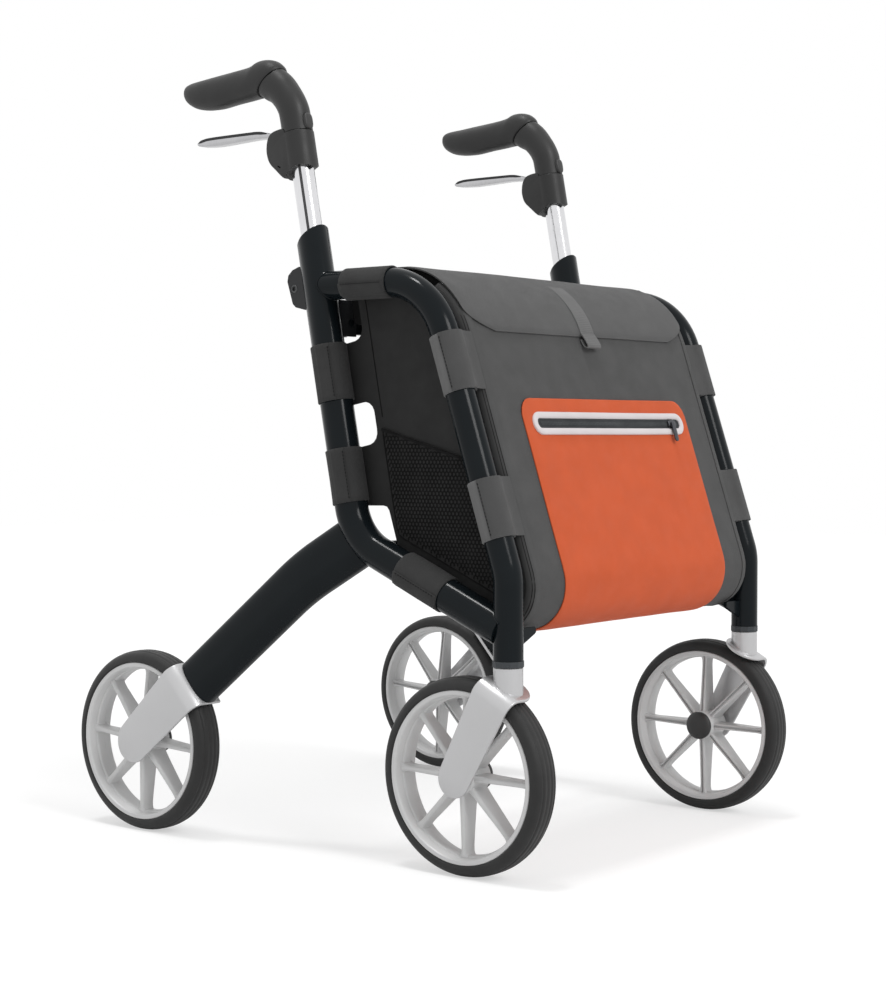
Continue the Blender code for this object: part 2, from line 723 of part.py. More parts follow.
def front_corner(side, sign, frame, paints):
    """Turning front fork with its stem, axle and wheel."""
    x = sign * FRAME_X
    caster = assembly(f"caster_{side}", Vector((x, STEM_Y, FRONT_TUBE_BOTTOM_Z)), frame)
    blade_x = sign * (FRONT_BLADE_OUTER_X - FORK_THICKNESS / 2)
    strip = bent_fork(FRONT_AXLE, FORK_UP, blade_x, FRONT_BLADE_FOOT, FRONT_BLADE_TOP, x, True)
    fork = solid(f"caster_fork_{side}", strip, paints["bright"], caster)
    plate = FRONT_AXLE + FORK_UP * (TYRE_RADIUS + TYRE_CLEARANCE + FORK_THICKNESS / 2)
    level = Vector((-FORK_UP.y, FORK_UP.x))
    seat = crossing(plate, level, Vector((STEM_Y, 0)), Vector((0, 1)))
    under = seat - Vector((0, FORK_THICKNESS / 2 / FORK_UP.y - GAP))
    normal = side_point(FORK_UP)
    sleeve = [side_point(point, x) for point in (seat, Vector((STEM_Y, SLEEVE_TOP_Z)))]
    stem = [side_point(point, x) for point in (under, Vector((STEM_Y, STEM_TOP_Z)))]
    bore = [Vector((x, STEM_Y, z)) for z in (seat.y - SLEEVE_RADIUS, STEM_TOP_Z)]
    combine(fork, "UNION", rod(sleeve, SLEEVE_RADIUS, cuts=(normal, None)))
    blind = axle_hole(FRONT_AXLE, sign * FRONT_BLADE_OUTER_X)
    combine(fork, "DIFFERENCE", rod(bore, STEM_RADIUS + GAP), blind)
    solid(f"caster_stem_{side}", rod(stem, STEM_RADIUS, cuts=(normal, None)), paints["steel"], caster)
    axle_pin(f"front_axle_{side}", sign, FRONT_AXLE, FRAME_X, FRONT_BLADE_OUTER_X, caster, paints)
    wheel("front", side, sign, FRONT_AXLE, FRAME_X, caster, paints)


def lever_outline():
    """Boss and arm of the brake lever, in the side plane."""
    boss = [LEVER_PIVOT + heading(turn) * LEVER_BOSS for turn in range(110, 391, 35)]
    half = LEVER_HEIGHT / 2
    elbow = LEVER_PIVOT + Vector((2 * LEVER_BOSS, 0))
    level = LEVER_LEVEL_Z
    arm = [
        Vector((elbow.x, level - half)),
        Vector((LEVER_TIP_Y - 0.045, level - half * 1.4)),
        Vector((LEVER_TIP_Y - 0.015, level - half)),
        Vector((LEVER_TIP_Y, level + half * 0.3)),
        Vector((LEVER_TIP_Y - 0.003, level + half * 0.7)),
        Vector((LEVER_TIP_Y - 0.024, level + half)),
        Vector((elbow.x, level + half)),
        Vector((LEVER_PIVOT.x + LEVER_BOSS / 2, level - half / 2)),
    ]
    return boss + arm


def handle(side, sign, frame, paints):
    """Everything that slides up and down with the inner tube."""
    x = sign * FRAME_X
    slide = assembly(f"handle_{side}", side_point(on_upright(UPRIGHT_TOP_Z), x), frame)
    inner = [side_point(on_upright(z), x) for z in (TELESCOPE_FOOT_Z, TELESCOPE_TOP_Z)]
    tube = solid(f"telescopic_tube_{side}", rod(inner, TELESCOPE_RADIUS), paints["steel"], slide)
    turn = math.radians(GROOVE_TURN)
    ahead = sign * X_AXIS * math.cos(turn) - side_point(BEHIND_UPRIGHT) * math.sin(turn)
    beside = side_point(UP).cross(ahead) * GROOVE_WIDTH / 2
    rings = []
    for point in (inner[0] - side_point(UP) * GROOVE_WIDTH, side_point(on_upright(NECK_FOOT_Z), x)):
        floor, proud = (point + ahead * (TELESCOPE_RADIUS + depth) for depth in (-GROOVE_DEPTH, GROOVE_DEPTH))
        rings.append([floor - beside, floor + beside, proud + beside, proud - beside])
    combine(tube, "DIFFERENCE", skin(rings))

    fall = heading(-GRIP_FALL)
    grip_start = crossing(HANDLE_CORNER, fall, Vector((GRIP_START_Y, 0)), Vector((0, 1)))
    grip_end = grip_start + fall * GRIP_LENGTH
    foot = on_upright(NECK_FOOT_Z + GAP)
    neck_path = rounded([side_point(p, x) for p in (foot, HANDLE_CORNER, grip_start - fall * GAP)], [NECK_BEND])
    hump = NECK_HUMP_RADIUS - NECK_RADIUS
    last = len(neck_path) - 1
    radii = [NECK_RADIUS + hump * max(0.0, (index - last + 4) / 4) for index in range(last + 1)]
    neck = solid(
        f"handle_neck_{side}",
        swept(neck_path, list(zip(radii, radii))),
        paints["plastic"],
        slide,
    )
    bore = [side_point(on_upright(z), x) for z in (HOUSING_FOOT_Z - GAP, TELESCOPE_TOP_Z + GAP)]
    button_face = side_point(on_upright(BUTTON_Z), x)
    forward = -side_point(BEHIND_UPRIGHT)
    wall = NECK_RADIUS - BUTTON_SEAT
    window = [(TELESCOPE_RADIUS - GAP, BUTTON_RADIUS + GAP), (2 * NECK_RADIUS, BUTTON_RADIUS + GAP)]
    combine(
        neck,
        "DIFFERENCE",
        rod(bore, TELESCOPE_RADIUS + GAP),
        turned(window, button_face, forward, sides=PIN_SIDES),
    )
    length = grip_end - grip_start
    shares = [(0, 1), (0.3, 1), (0.68, 0.97), (0.86, 0.93), (0.94, 0.76), (0.985, 0.5), (1, 0.3)]
    grip_path = [side_point(grip_start + length * share, x) for share, _ in shares]
    solid(
        f"hand_grip_{side}",
        swept(grip_path, [(GRIP_RADIUS * size, GRIP_RADIUS * size) for _, size in shares]),
        paints["grip"],
        slide,
    )

    sleeve = [side_point(on_upright(z), x) for z in (HOUSING_FOOT_Z, NECK_FOOT_Z)]
    housing = solid(f"brake_housing_{side}", rod(sleeve, HOUSING_RADIUS), paints["plastic"], slide)
    pivot = side_point(LEVER_PIVOT, x)
    disc = [(-DISC_WIDTH / 2, DISC_RADIUS), (DISC_WIDTH / 2, DISC_RADIUS)]
    slot_half = LEVER_WIDTH / 2 + GAP
    slot_front, slot_foot = (value - LEVER_BOSS - GAP for value in (LEVER_PIVOT.x, LEVER_PIVOT.y))
    slot = box(
        (x - slot_half, slot_front, slot_foot),
        (x + slot_half, LEVER_PIVOT.x + 2 * DISC_RADIUS, LEVER_PIVOT.y + 2 * DISC_RADIUS),
    )
    pin_reach = DISC_WIDTH / 2 - CHEEK
    holes = turned([(-pin_reach, PIVOT_RADIUS + GAP), (pin_reach, PIVOT_RADIUS + GAP)], pivot, X_AXIS)
    neck_seat = [side_point(on_upright(z), x) for z in (NECK_FOOT_Z - GAP, TELESCOPE_TOP_Z)]
    combine(housing, "UNION", turned(disc, side_point(DISC_CENTRE, x), X_AXIS, sides=20))
    combine(
        housing,
        "DIFFERENCE",
        rod(bore, TELESCOPE_RADIUS + GAP),
        rod(neck_seat, NECK_RADIUS + 2 * GAP),
        slot,
        holes,
    )

    hinge = assembly(f"brake_lever_{side}_hinge", pivot, slide)
    half = LEVER_WIDTH / 2
    lever = solid(
        f"brake_lever_{side}",
        side_prism(lever_outline(), x - half, x + half),
        paints["bright"],
        hinge,
    )
    pin = [(-pin_reach + GAP, PIVOT_RADIUS), (pin_reach - GAP, PIVOT_RADIUS)]
    combine(lever, "UNION", turned(pin, pivot, X_AXIS, sides=PIN_SIDES))

    press = assembly(f"height_button_{side}_slide", button_face + forward * NECK_RADIUS, slide)
    face = NECK_RADIUS + BUTTON_PROUD
    shape = [
        (wall, 0),
        (wall, BUTTON_RADIUS),
        (face - BUTTON_PROUD / 2, BUTTON_RADIUS),
        (face, BUTTON_RADIUS * 0.7),
        (face, 0),
    ]
    solid(
        f"height_button_{side}",
        turned(shape, button_face, forward, sides=PIN_SIDES),
        paints["cap"],
        press,
    )


def fold_bracket(side, sign, frame, paints):
    """Clamp behind the upright, with a clevis for the upper arm."""
    layer_y = UPPER_ARM_Y + ARM_LAYERS[side]
    post = on_upright(UPPER_ARM_Z)
    inner_wall = sign * (FRAME_X - UPRIGHT_RADIUS)
    rear, lid, foot = BRACKET_REAR_Y, BRACKET_TOP_Z, BRACKET_FOOT_Z
    outline = [
        Vector((on_upright(lid).x + 0.004, lid)),
        Vector((rear - 0.0164, lid)),
        Vector((rear - 0.0070, lid - 0.0033)),
        Vector((rear - 0.0012, lid - 0.0088)),
        Vector((rear, lid - 0.0151)),
        Vector((rear - 0.0076, foot + 0.0071)),
        Vector((rear - 0.0120, foot + 0.0032)),
        Vector((rear - 0.0256, foot)),
        Vector((on_upright(foot).x + 0.004, foot)),
    ]
    clamp = side_prism(outline, inner_wall - sign * 0.0025, sign * BRACKET_OUTER_X)
    half = ARM_THICKNESS / 2 + GAP + CHEEK
    clevis = box(
        (sign * (PIVOT_X - 2 * PIN_RADIUS), UPPER_ARM_Y - half, UPPER_ARM_Z - UPPER_ARM_HEIGHT * 0.6),
        (inner_wall + sign * 0.003, post.x + UPRIGHT_RADIUS, UPPER_ARM_Z + UPPER_ARM_HEIGHT - GAP),
    )
    bracket = solid(f"fold_bracket_{side}", clamp, paints["plastic"], frame)
    tube = [side_point(on_upright(z), sign * FRAME_X) for z in (UPRIGHT_BORE_FLOOR_Z, UPRIGHT_TOP_Z)]
    bolt_x = sign * (BRACKET_OUTER_X + GAP)
    bolt = turned(
        [(0, BRACKET_BOLT_RADIUS), (-sign * 2 * CHEEK, BRACKET_BOLT_RADIUS)],
        Vector((bolt_x, BRACKET_REAR_Y - 2 * BRACKET_BOLT_RADIUS, (BRACKET_FOOT_Z + BRACKET_TOP_Z) / 2)),
        X_AXIS,
        sides=PIN_SIDES,
    )
    combine(bracket, "UNION", clevis)
    combine(
        bracket,
        "DIFFERENCE",
        rod(tube, UPRIGHT_RADIUS + GAP),
        *arm_slot(sign, layer_y, UPPER_ARM_Z, UPPER_ARM_HEIGHT),
        bolt,
    )


def cross_arm(name, sign, layer_y, height_z, height, parent, paints):
    """Half of a cross brace, round at both ends, with the pivot pin on its outer end."""
    ends = []
    for middle, start in ((sign * PIVOT_X, -90), (0.0, 90)):
        for step in range(7):
            turn = math.radians(start + 30 * step)
            out = sign * math.cos(turn) * height / 2
            ends.append(Vector((middle + out, height_z + math.sin(turn) * height / 2)))
    faces = [lambda p, y=layer_y + end * ARM_THICKNESS / 2: Vector((p.x, y, p.y)) for end in (-1, 1)]
    arm = solid(name, prism(ends, *faces), paints["frame"], parent)
    reach = ARM_THICKNESS / 2 + CHEEK
    pin = turned(
        [(-reach, PIN_RADIUS), (reach, PIN_RADIUS)],
        Vector((sign * PIVOT_X, layer_y, height_z)),
        Y_AXIS,
        sides=PIN_SIDES,
    )
    hole = turned(
        [(-reach, PIN_RADIUS + GAP), (reach, PIN_RADIUS + GAP)],
        Vector((0, layer_y, height_z)),
        Y_AXIS,
        sides=PIN_SIDES,
    )
    combine(arm, "UNION", pin)
    combine(arm, "DIFFERENCE", hole)


def centre_pin(name, first_y, height_z, parent, paints):
    """Headed pin through the middle of a cross brace."""
    low = first_y - ARM_THICKNESS / 2 - GAP
    high = first_y + ARM_LAYERS["left"] + ARM_THICKNESS / 2 + GAP
    profile = [
        (low - PIN_HEAD_HEIGHT, 0),
        (low - PIN_HEAD_HEIGHT, PIN_HEAD_RADIUS * 0.8),
        (low - PIN_HEAD_HEIGHT / 2, PIN_HEAD_RADIUS),
        (low, PIN_HEAD_RADIUS),
        (low, PIN_RADIUS),
        (high, PIN_RADIUS),
        (high, PIN_HEAD_RADIUS),
        (high + PIN_HEAD_HEIGHT / 2, PIN_HEAD_RADIUS),
        (high + PIN_HEAD_HEIGHT, PIN_HEAD_RADIUS * 0.8),
        (high + PIN_HEAD_HEIGHT, 0),
    ]
    shape = turned(profile, Vector((0, 0, height_z)), Y_AXIS, sides=PIN_SIDES)
    solid(name, shape, paints["steel"], parent, Vector((0, first_y, height_z)))


def cross_braces(frame, paints):
    """Both cross braces. Returns the empty that the left frame hangs on."""
    far = None
    for level, y, z, height in (
        ("upper", UPPER_ARM_Y, UPPER_ARM_Z, UPPER_ARM_HEIGHT),
        ("lower", LOWER_ARM_Y, LOWER_ARM_Z, LOWER_ARM_HEIGHT),
    ):
        near_hinge = assembly(f"{level}_arm_right_hinge", Vector((-PIVOT_X, y, z)), frame)
        far_hinge = assembly(f"{level}_arm_left_hinge", Vector((0, y, z)), near_hinge)
        cross_arm(f"{level}_arm_right", -1, y + ARM_LAYERS["right"], z, height, near_hinge, paints)
        cross_arm(f"{level}_arm_left", 1, y + ARM_LAYERS["left"], z, height, far_hinge, paints)
        centre_pin(f"{level}_centre_pin", y, z, near_hinge, paints)
        far = far or assembly("frame_left", Vector((PIVOT_X, y, z)), far_hinge)
    return far


def hugging(offset, back_y, down, steps=6):
    """Line that lies the offset outside the top and front tube, from back_y to a distance past the corner."""
    reach = TOP_BEND + offset
    half = math.radians(90 - FRONT_LEAN) / 2
    level = TOP_CORNER.y + offset
    centre = Vector((TOP_CORNER.x + TOP_BEND * math.tan(half), TOP_CORNER.y - TOP_BEND))
    line = [Vector((back_y, level))] if back_y > centre.x else []
    for step in range(steps + 1):
        line.append(centre + heading(90 + (90 - FRONT_LEAN) * step / steps) * reach)
    edge = TOP_BEND * math.tan(half)
    if down > edge:
        line.append(line[-1] + FRONT_DOWN * (down - edge))
    return line


def on_front(x, down, offset):
    """A point in front of the bag: x, distance down from the top corner, and offset from the tubes' line."""
    outward = Vector((FRONT_DOWN.y, -FRONT_DOWN.x))
    return side_point(TOP_CORNER + FRONT_DOWN * down + outward * offset, x)


def bag_foot(proud):
    """The bag's front line, its bottom line and the sharp corner between them, each as side-plane points."""
    under = Vector((-LOWER_ALONG.y, LOWER_ALONG.x))
    front = on_front(0, 0, BAG_PROUD + proud).yz
    bottom = UPRIGHT_FOOT + under * (BAG_BELOW + proud)
    return front, bottom, crossing(front, FRONT_DOWN, bottom, LOWER_ALONG)


def bag_profile():
    """Side-plane outline of the bag from the top of its front, round its foot, to the top of its back."""
    arc = hugging(BAG_PROUD, TOP_CORNER.x, 0)
    below = [point for point in arc if point.y < PANEL_TOP_Z]
    above = arc[len(arc) - len(below) - 1]
    start = above.lerp(below[0], (above.y - PANEL_TOP_Z) / (above.y - below[0].y))
    _, bottom, front_corner_point = bag_foot(0)
    back = UPRIGHT_FOOT - BEHIND_UPRIGHT * BAG_BACK
    back_corner_point = crossing(back, UP, bottom, LOWER_ALONG)
    top = crossing(back, UP, Vector((0, PANEL_TOP_Z)), Vector((1, 0)))
    corners = [side_point(point) for point in (arc[-1], front_corner_point, back_corner_point, top)]
    foot = rounded(corners, [BAG_FRONT_ROUND, BAG_BACK_ROUND])
    return [start] + below[:-1] + [point.yz for point in foot]


def loop_shapes(sign, middle, along, radius, length, toward, reach):
    """A sewn loop round a tube and the tab that joins it to the side panel."""
    x = sign * FRAME_X
    half = length / 2
    ring = turned(
        [
            (-half, radius + GAP),
            (-half, radius + GAP + LOOP_WALL),
            (half, radius + GAP + LOOP_WALL),
            (half, radius + GAP),
        ],
        side_point(middle, x),
        side_point(along),
        ring=True,
    )
    tab = []
    for edge in (-half + GAP, half - GAP):
        row = []
        for tab_x, step in ((0, -TAB_REACH / 2), (1, -TAB_REACH / 2), (1, reach), (0, reach)):
            depth = sign * (PANEL_X + (FRAME_X - radius - 2 * GAP - PANEL_X) * tab_x)
            row.append(side_point(middle + along * edge + toward * step, depth))
        tab.append(row)
    return ring, skin(tab)


def bag_side(side, sign, frame, paints):
    """Side panel with its loops, and the net pocket on it."""
    inner, outer = sign * PANEL_X, sign * (PANEL_X + PANEL_THICKNESS)
    panel = solid(
        f"side_panel_{side}",
        side_prism(bag_profile(), inner, outer),
        paints["side"],
        frame,
    )
    forward, rearward = -BEHIND_UPRIGHT, Vector((-FRONT_DOWN.y, FRONT_DOWN.x))
    level, up_from_base = Vector((-1, 0)), Vector((LOWER_ALONG.y, -LOWER_ALONG.x))
    places = [
        (Vector((TOP_LOOP_Y, TOP_CORNER.y)), level, FRONT_TUBE_RADIUS, TOP_LOOP_LENGTH),
        (on_upright(HIGH_LOOP_Z), UP, UPRIGHT_RADIUS, HIGH_LOOP_LENGTH),
        (on_upright(LOW_LOOP_Z), UP, UPRIGHT_RADIUS, LOW_LOOP_LENGTH),
        (on_front_tube(FRONT_LOOP_HIGH_Z), FRONT_DOWN, FRONT_TUBE_RADIUS, FRONT_LOOP_LENGTH),
        (on_front_tube(FRONT_LOOP_LOW_Z), FRONT_DOWN, FRONT_TUBE_RADIUS, FRONT_LOOP_LENGTH),
        (on_lower_tube(BASE_LOOP_Y), LOWER_ALONG, UPRIGHT_RADIUS, BASE_LOOP_LENGTH),
    ]
    inward = [Vector((0, -1)), forward, forward, rearward, rearward, up_from_base]
    reaches = [TOP_TAB_REACH, BACK_TAB_REACH, BACK_TAB_REACH, TAB_REACH, TAB_REACH, TAB_REACH]
    loops = [loop_shapes(sign, *place, toward, reach) for place, toward, reach in zip(places, inward, reaches)]
    combine(panel, "UNION", merged([tab for _, tab in loops]), merged([ring for ring, _ in loops]))

    top_line = Vector((on_front_tube(NET_TOP_FRONT_Z).x, NET_TOP_FRONT_Z)), Vector((0, NET_TOP_BACK_Z))
    front = on_front_tube(NET_TOP_FRONT_Z) + rearward * NET_INSET
    back = UPRIGHT_FOOT + forward * (BACK_TAB_REACH + 0.0015)
    base = UPRIGHT_FOOT + up_from_base * NET_INSET
    along_top = Vector((back.x - top_line[0].x, top_line[1].y - NET_TOP_FRONT_Z))
    corners = [
        crossing(front, FRONT_DOWN, base, LOWER_ALONG),
        crossing(base, LOWER_ALONG, back, UP),
        crossing(back, UP, top_line[0], along_top),
        crossing(front, FRONT_DOWN, top_line[0], along_top),
    ]
    net_x = PANEL_X + PANEL_THICKNESS + GAP
    solid(
        f"mesh_pocket_{side}",
        side_prism(corners, sign * net_x, sign * (net_x + NET_THICKNESS)),
        paints["net"],
        frame,
    )


def front_strip(line, thickness, half_width):
    """A sheet along a side-plane line, the thickness outside it, with a half width for each of its points."""
    outside = offset_line(line, -thickness)
    rings = []
    for inner, outer, half in zip(line, outside, half_width):
        rings.append([side_point(inner, -half), side_point(inner, half)])
        rings[-1] += [side_point(outer, half), side_point(outer, -half)]
    return skin(rings)


def stadium(half_x, top, height, steps=6):
    """Flat outline with round ends, as (x, distance down) points."""
    radius, outline = height / 2, []
    for sign, start in ((1, -90), (-1, 90)):
        for step in range(steps + 1):
            turn = math.radians(start + 180 * step / steps)
            across = sign * (half_x - radius) + radius * math.cos(turn)
            outline.append((across, top + radius + radius * math.sin(turn)))
    return outline


def bag_front(frame, paints):
    """Shell of the bag, its flap and strap, the pocket and the zip."""
    half = PANEL_X - GAP
    outline = bag_profile()
    flap_under = TOP_CORNER.y + BAG_PROUD + GAP
    lid = Vector((0, flap_under - GAP + BEHIND_UPRIGHT.y * SHELL_THICKNESS))
    outline.append(crossing(outline[-1], UP, lid, Vector((1, 0))))
    walls = outline + offset_line(outline, SHELL_THICKNESS)[::-1]
    solid("bag_shell", side_prism(walls, -half, half), paints["bag"], frame)

    hinge = assembly("bag_flap_hinge", Vector((0, FLAP_BACK_Y, flap_under)), frame)
    line = hugging(BAG_PROUD + GAP, FLAP_BACK_Y, 0, steps=16)
    widths = []
    for point in line:
        share = max(0.0, 1 - (line[-1] - point).length / FLAP_CORNER_RISE)
        widths.append(FLAP_X - FLAP_CORNER_WIDTH * share**2.5)
    solid("bag_flap", front_strip(line, FLAP_THICKNESS, widths), paints["flap"], hinge)
    strap_line = hugging(BAG_PROUD + 2 * GAP + FLAP_THICKNESS, STRAP_BACK_Y, STRAP_END, steps=8)
    strap = front_strip(strap_line, STRAP_THICKNESS, [STRAP_WIDTH / 2] * len(strap_line))
    solid("flap_strap", strap, paints["strap"], hinge)

    _, _, corner = bag_foot(GAP)
    bend = BAG_FRONT_ROUND + GAP
    corners = [
        on_front(0, POCKET_TOP, BAG_PROUD + GAP),
        side_point(corner),
        side_point(corner - LOWER_ALONG * (bend + POCKET_UNDER)),
    ]
    pocket = [point.yz for point in rounded(corners, [bend])]
    strip = front_strip(pocket, POCKET_THICKNESS, [POCKET_X] * len(pocket))
    solid("front_pocket", strip, paints["pocket"], frame)

    low = BAG_PROUD + 2 * GAP + POCKET_THICKNESS
    high = low + ZIP_THICKNESS
    rings = []
    slot = (ZIP_HEIGHT - ZIP_SLOT_HEIGHT) / 2
    for half_x, inset, offset in ((ZIP_X, 0, low), (ZIP_X, 0, high), (ZIP_SLOT_X, slot, high), (ZIP_SLOT_X, slot, low)):
        flat = stadium(half_x, ZIP_TOP + inset, ZIP_HEIGHT - 2 * inset)
        rings.append([on_front(x, down, offset) for x, down in flat])
    solid("zip_surround", skin(rings, closed=True), paints["surround"], frame)

    middle = ZIP_TOP + ZIP_HEIGHT / 2
    slide = assembly("zip_slider_slide", on_front(SLIDER_X, middle, high), frame)
    body = [
        (SLIDER_X - SLIDER_LENGTH / 2, middle - SLIDER_HEIGHT / 2),
        (SLIDER_X + SLIDER_LENGTH / 2, middle - SLIDER_HEIGHT / 2),
        (SLIDER_X + SLIDER_LENGTH / 2, middle + SLIDER_HEIGHT / 2),
        (SLIDER_X - SLIDER_LENGTH / 2, middle + SLIDER_HEIGHT / 2),
    ]
    puller = [
        (SLIDER_X - PULLER_WIDTH / 2, middle),
        (SLIDER_X + PULLER_WIDTH / 2, middle),
        (SLIDER_X + PULLER_WIDTH / 2, middle + PULLER_LENGTH),
        (SLIDER_X - PULLER_WIDTH / 2, middle + PULLER_LENGTH),
    ]
    rest = low + GAP
    shapes = []
    for flat, bottom, lid in (
        (body, rest, high + SLIDER_THICKNESS),
        (puller, high + GAP, high + SLIDER_THICKNESS * 0.8),
    ):
        shapes.append(skin([[on_front(x, down, level) for x, down in flat] for level in (bottom, lid)]))
    slider = solid("zip_slider", shapes[0], paints["cap"], slide)
    combine(slider, "UNION", shapes[1])


def make_paints():
    """Every colour of the object."""
    return {
        "frame": paint("frame_paint", (0.012, 0.016, 0.019), 0.25, 0.3),
        "bright": paint("bright_steel", (0.62, 0.62, 0.62), 0.25, 1.0),
        "steel": paint("plain_steel", (0.55, 0.55, 0.55), 0.3, 1.0),
        "rim": paint("rim_plastic", (0.42, 0.42, 0.43), 0.45),
        "tyre": paint("tyre_rubber", (0.04, 0.04, 0.04), 0.75),
        "rubber": paint("shoe_rubber", (0.02, 0.02, 0.02), 0.8),
        "plastic": paint("dark_plastic", (0.045, 0.045, 0.045), 0.5),
        "grip": paint("grip_rubber", (0.05, 0.05, 0.05), 0.6),
        "cap": paint("cap_plastic", (0.04, 0.04, 0.04), 0.4),
        "bag": paint("bag_cloth", (0.12, 0.12, 0.12), 0.85),
        "flap": paint("flap_cloth", (0.17, 0.17, 0.17), 0.85),
        "side": paint("side_cloth", (0.03, 0.03, 0.03), 0.85),
        "net": paint("net_cloth", (0.02, 0.02, 0.02), 0.9),
        "strap": paint("strap_webbing", (0.22, 0.22, 0.22), 0.8),
        "pocket": paint("orange_cloth", (0.69, 0.13, 0.045), 0.8),
        "surround": paint("zip_edge", (0.70, 0.67, 0.67), 0.6),
    }


def main():
    """Clears the scene and models the rollator."""
    for item in list(bpy.data.objects):
        bpy.data.objects.remove(item)
    paints = make_paints()
    right = assembly("frame_right", Vector((-PIVOT_X, UPPER_ARM_Y, UPPER_ARM_Z)))
    left = cross_braces(right, paints)
    for side, sign, frame in (("right", -1, right), ("left", 1, left)):
        side_frame(side, sign, frame, paints)
        rear_leg(side, sign, frame, paints)
        rear_corner(side, sign, frame, paints)
        front_corner(side, sign, frame, paints)
        handle(side, sign, frame, paints)
        fold_bracket(side, sign, frame, paints)
        bag_side(side, sign, frame, paints)
    bag_front(right, paints)


main()
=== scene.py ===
"""Looks of a shopping rollator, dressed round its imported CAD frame.

Every size is in metres and in the frame of the CAD model: X across, Y from front to back, Z up. A point of
the side plane is a two-number vector (y, z).
"""

import logging
import math
from dataclasses import dataclass, field, replace
from enum import Enum
from typing import Any, Callable, Sequence

import bmesh
import bpy
from mathutils import Matrix, Vector, noise
from mathutils.geometry import delaunay_2d_cdt


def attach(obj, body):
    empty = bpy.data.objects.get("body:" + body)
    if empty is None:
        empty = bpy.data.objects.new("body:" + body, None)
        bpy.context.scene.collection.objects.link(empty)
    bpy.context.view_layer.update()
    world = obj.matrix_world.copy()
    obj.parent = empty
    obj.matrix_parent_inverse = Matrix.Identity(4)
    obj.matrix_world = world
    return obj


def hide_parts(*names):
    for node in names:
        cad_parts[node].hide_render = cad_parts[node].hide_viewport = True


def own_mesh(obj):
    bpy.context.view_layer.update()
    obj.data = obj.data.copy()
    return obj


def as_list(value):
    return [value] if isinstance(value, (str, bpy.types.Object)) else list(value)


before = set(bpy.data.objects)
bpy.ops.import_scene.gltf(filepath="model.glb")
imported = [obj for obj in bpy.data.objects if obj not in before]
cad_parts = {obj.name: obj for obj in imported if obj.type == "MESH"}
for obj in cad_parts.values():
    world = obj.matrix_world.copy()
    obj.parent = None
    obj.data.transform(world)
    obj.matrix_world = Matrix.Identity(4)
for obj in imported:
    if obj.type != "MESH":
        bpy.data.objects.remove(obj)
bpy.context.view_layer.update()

log = logging.getLogger("rollator")

X_AXIS, Y_AXIS, Z_AXIS = (Vector(axis) for axis in ((1, 0, 0), (0, 1, 0), (0, 0, 1)))

Offsets = list[tuple[float, float]]
Table = tuple[tuple[float, ...], ...]
Line = list[Vector]


class Side(Enum):
    """The two sides of the rollator, by the sign of X."""

    RIGHT = -1
    LEFT = 1

    @property
    def tag(self) -> str:
        """The side's word in the names of nodes and bodies."""
        return self.name.lower()

    @property
    def frame_body(self) -> str:
        """The CAD body of this side's frame."""
        return f"frame_{self.tag}"


# ---- Lines ----


def cos_sin(degrees: float) -> tuple[float, float]:
    """Returns the cosine and the sine of an angle in degrees."""
    return math.cos(math.radians(degrees)), math.sin(math.radians(degrees))


def heading(degrees: float) -> Vector:
    """Returns the unit direction of the side plane at an angle from rearwards, towards up."""
    return Vector(cos_sin(degrees))


def crossing(start: Vector, along: Vector, other_start: Vector, other_along: Vector) -> Vector:
    """Returns the point where two lines of the side plane cross.

    Args:
        start: A point of the first line.
        along: The first line's direction.
        other_start: A point of the second line.
        other_along: The second line's direction.

    Returns:
        The crossing point.
    """
    between = other_start - start
    spread = along.x * other_along.y - along.y * other_along.x
    return start + along * ((between.x * other_along.y - between.y * other_along.x) / spread)


def at_side(point: Vector, x: float = 0.0) -> Vector:
    """Returns a point of the side plane, placed at x."""
    return Vector((x, point[0], point[1]))


def rounded(corners: Sequence[Vector], radii: Sequence[float], steps: int = 10, closed: bool = False) -> Line:
    """Puts an arc in place of each corner.

    Args:
        corners: The corner points, in two or three dimensions.
        radii: A radius for each inner corner, or for every corner of a closed line. Zero keeps the corner.
        steps: Pieces in each arc.
        closed: Whether the last corner joins the first.

    Returns:
        The points of the rounded line.
    """
    count = len(corners)
    inner = range(count) if closed else range(1, count - 1)
    path = [] if closed else [corners[0].copy()]
    for index, radius in zip(inner, radii):
        corner = corners[index]
        back, ahead = (corners[at % count] - corner for at in (index - 1, index + 1))
        back, ahead = back.normalized(), ahead.normalized()
        angle = math.acos(max(-1.0, min(1.0, back.dot(ahead))))
        if radius <= 0 or angle > math.pi - 1e-3:
            path.append(corner.copy())
            continue
        half = angle / 2
        centre = corner + (back + ahead).normalized() * radius / math.sin(half)
        start = corner + back * radius / math.tan(half) - centre
        end = corner + ahead * radius / math.tan(half) - centre
        turn = math.pi - angle
        for step in range(steps + 1):
            share = step / steps
            spoke = start * math.sin((1 - share) * turn) + end * math.sin(share * turn)
            path.append(centre + spoke / math.sin(turn))
    return path if closed else path + [corners[-1].copy()]


def flowing(points: Sequence[Sequence[float]], steps: int = 4) -> Line:
    """Returns a smooth line through points of any number of dimensions, with steps pieces between two."""
    knots = [Vector(point) for point in points]
    line = []
    for index in range(len(knots) - 1):
        first, second, third, fourth = (
            knots[max(0, min(len(knots) - 1, index + shift))] for shift in (-1, 0, 1, 2)
        )
        for step in range(steps):
            t = step / steps
            bow = 2 * first - 5 * second + 4 * third - fourth
            pull = 3 * second - first - 3 * third + fourth
            line.append((2 * second + (third - first) * t + bow * t**2 + pull * t**3) / 2)
    return line + [knots[-1]]


def clamped(value: float) -> float:
    """Returns a value kept from 0 to 1."""
    return max(0.0, min(1.0, value))


def length_of(line: Line) -> float:
    """Returns the length of a line."""
    return sum((after - before).length for before, after in zip(line, line[1:]))


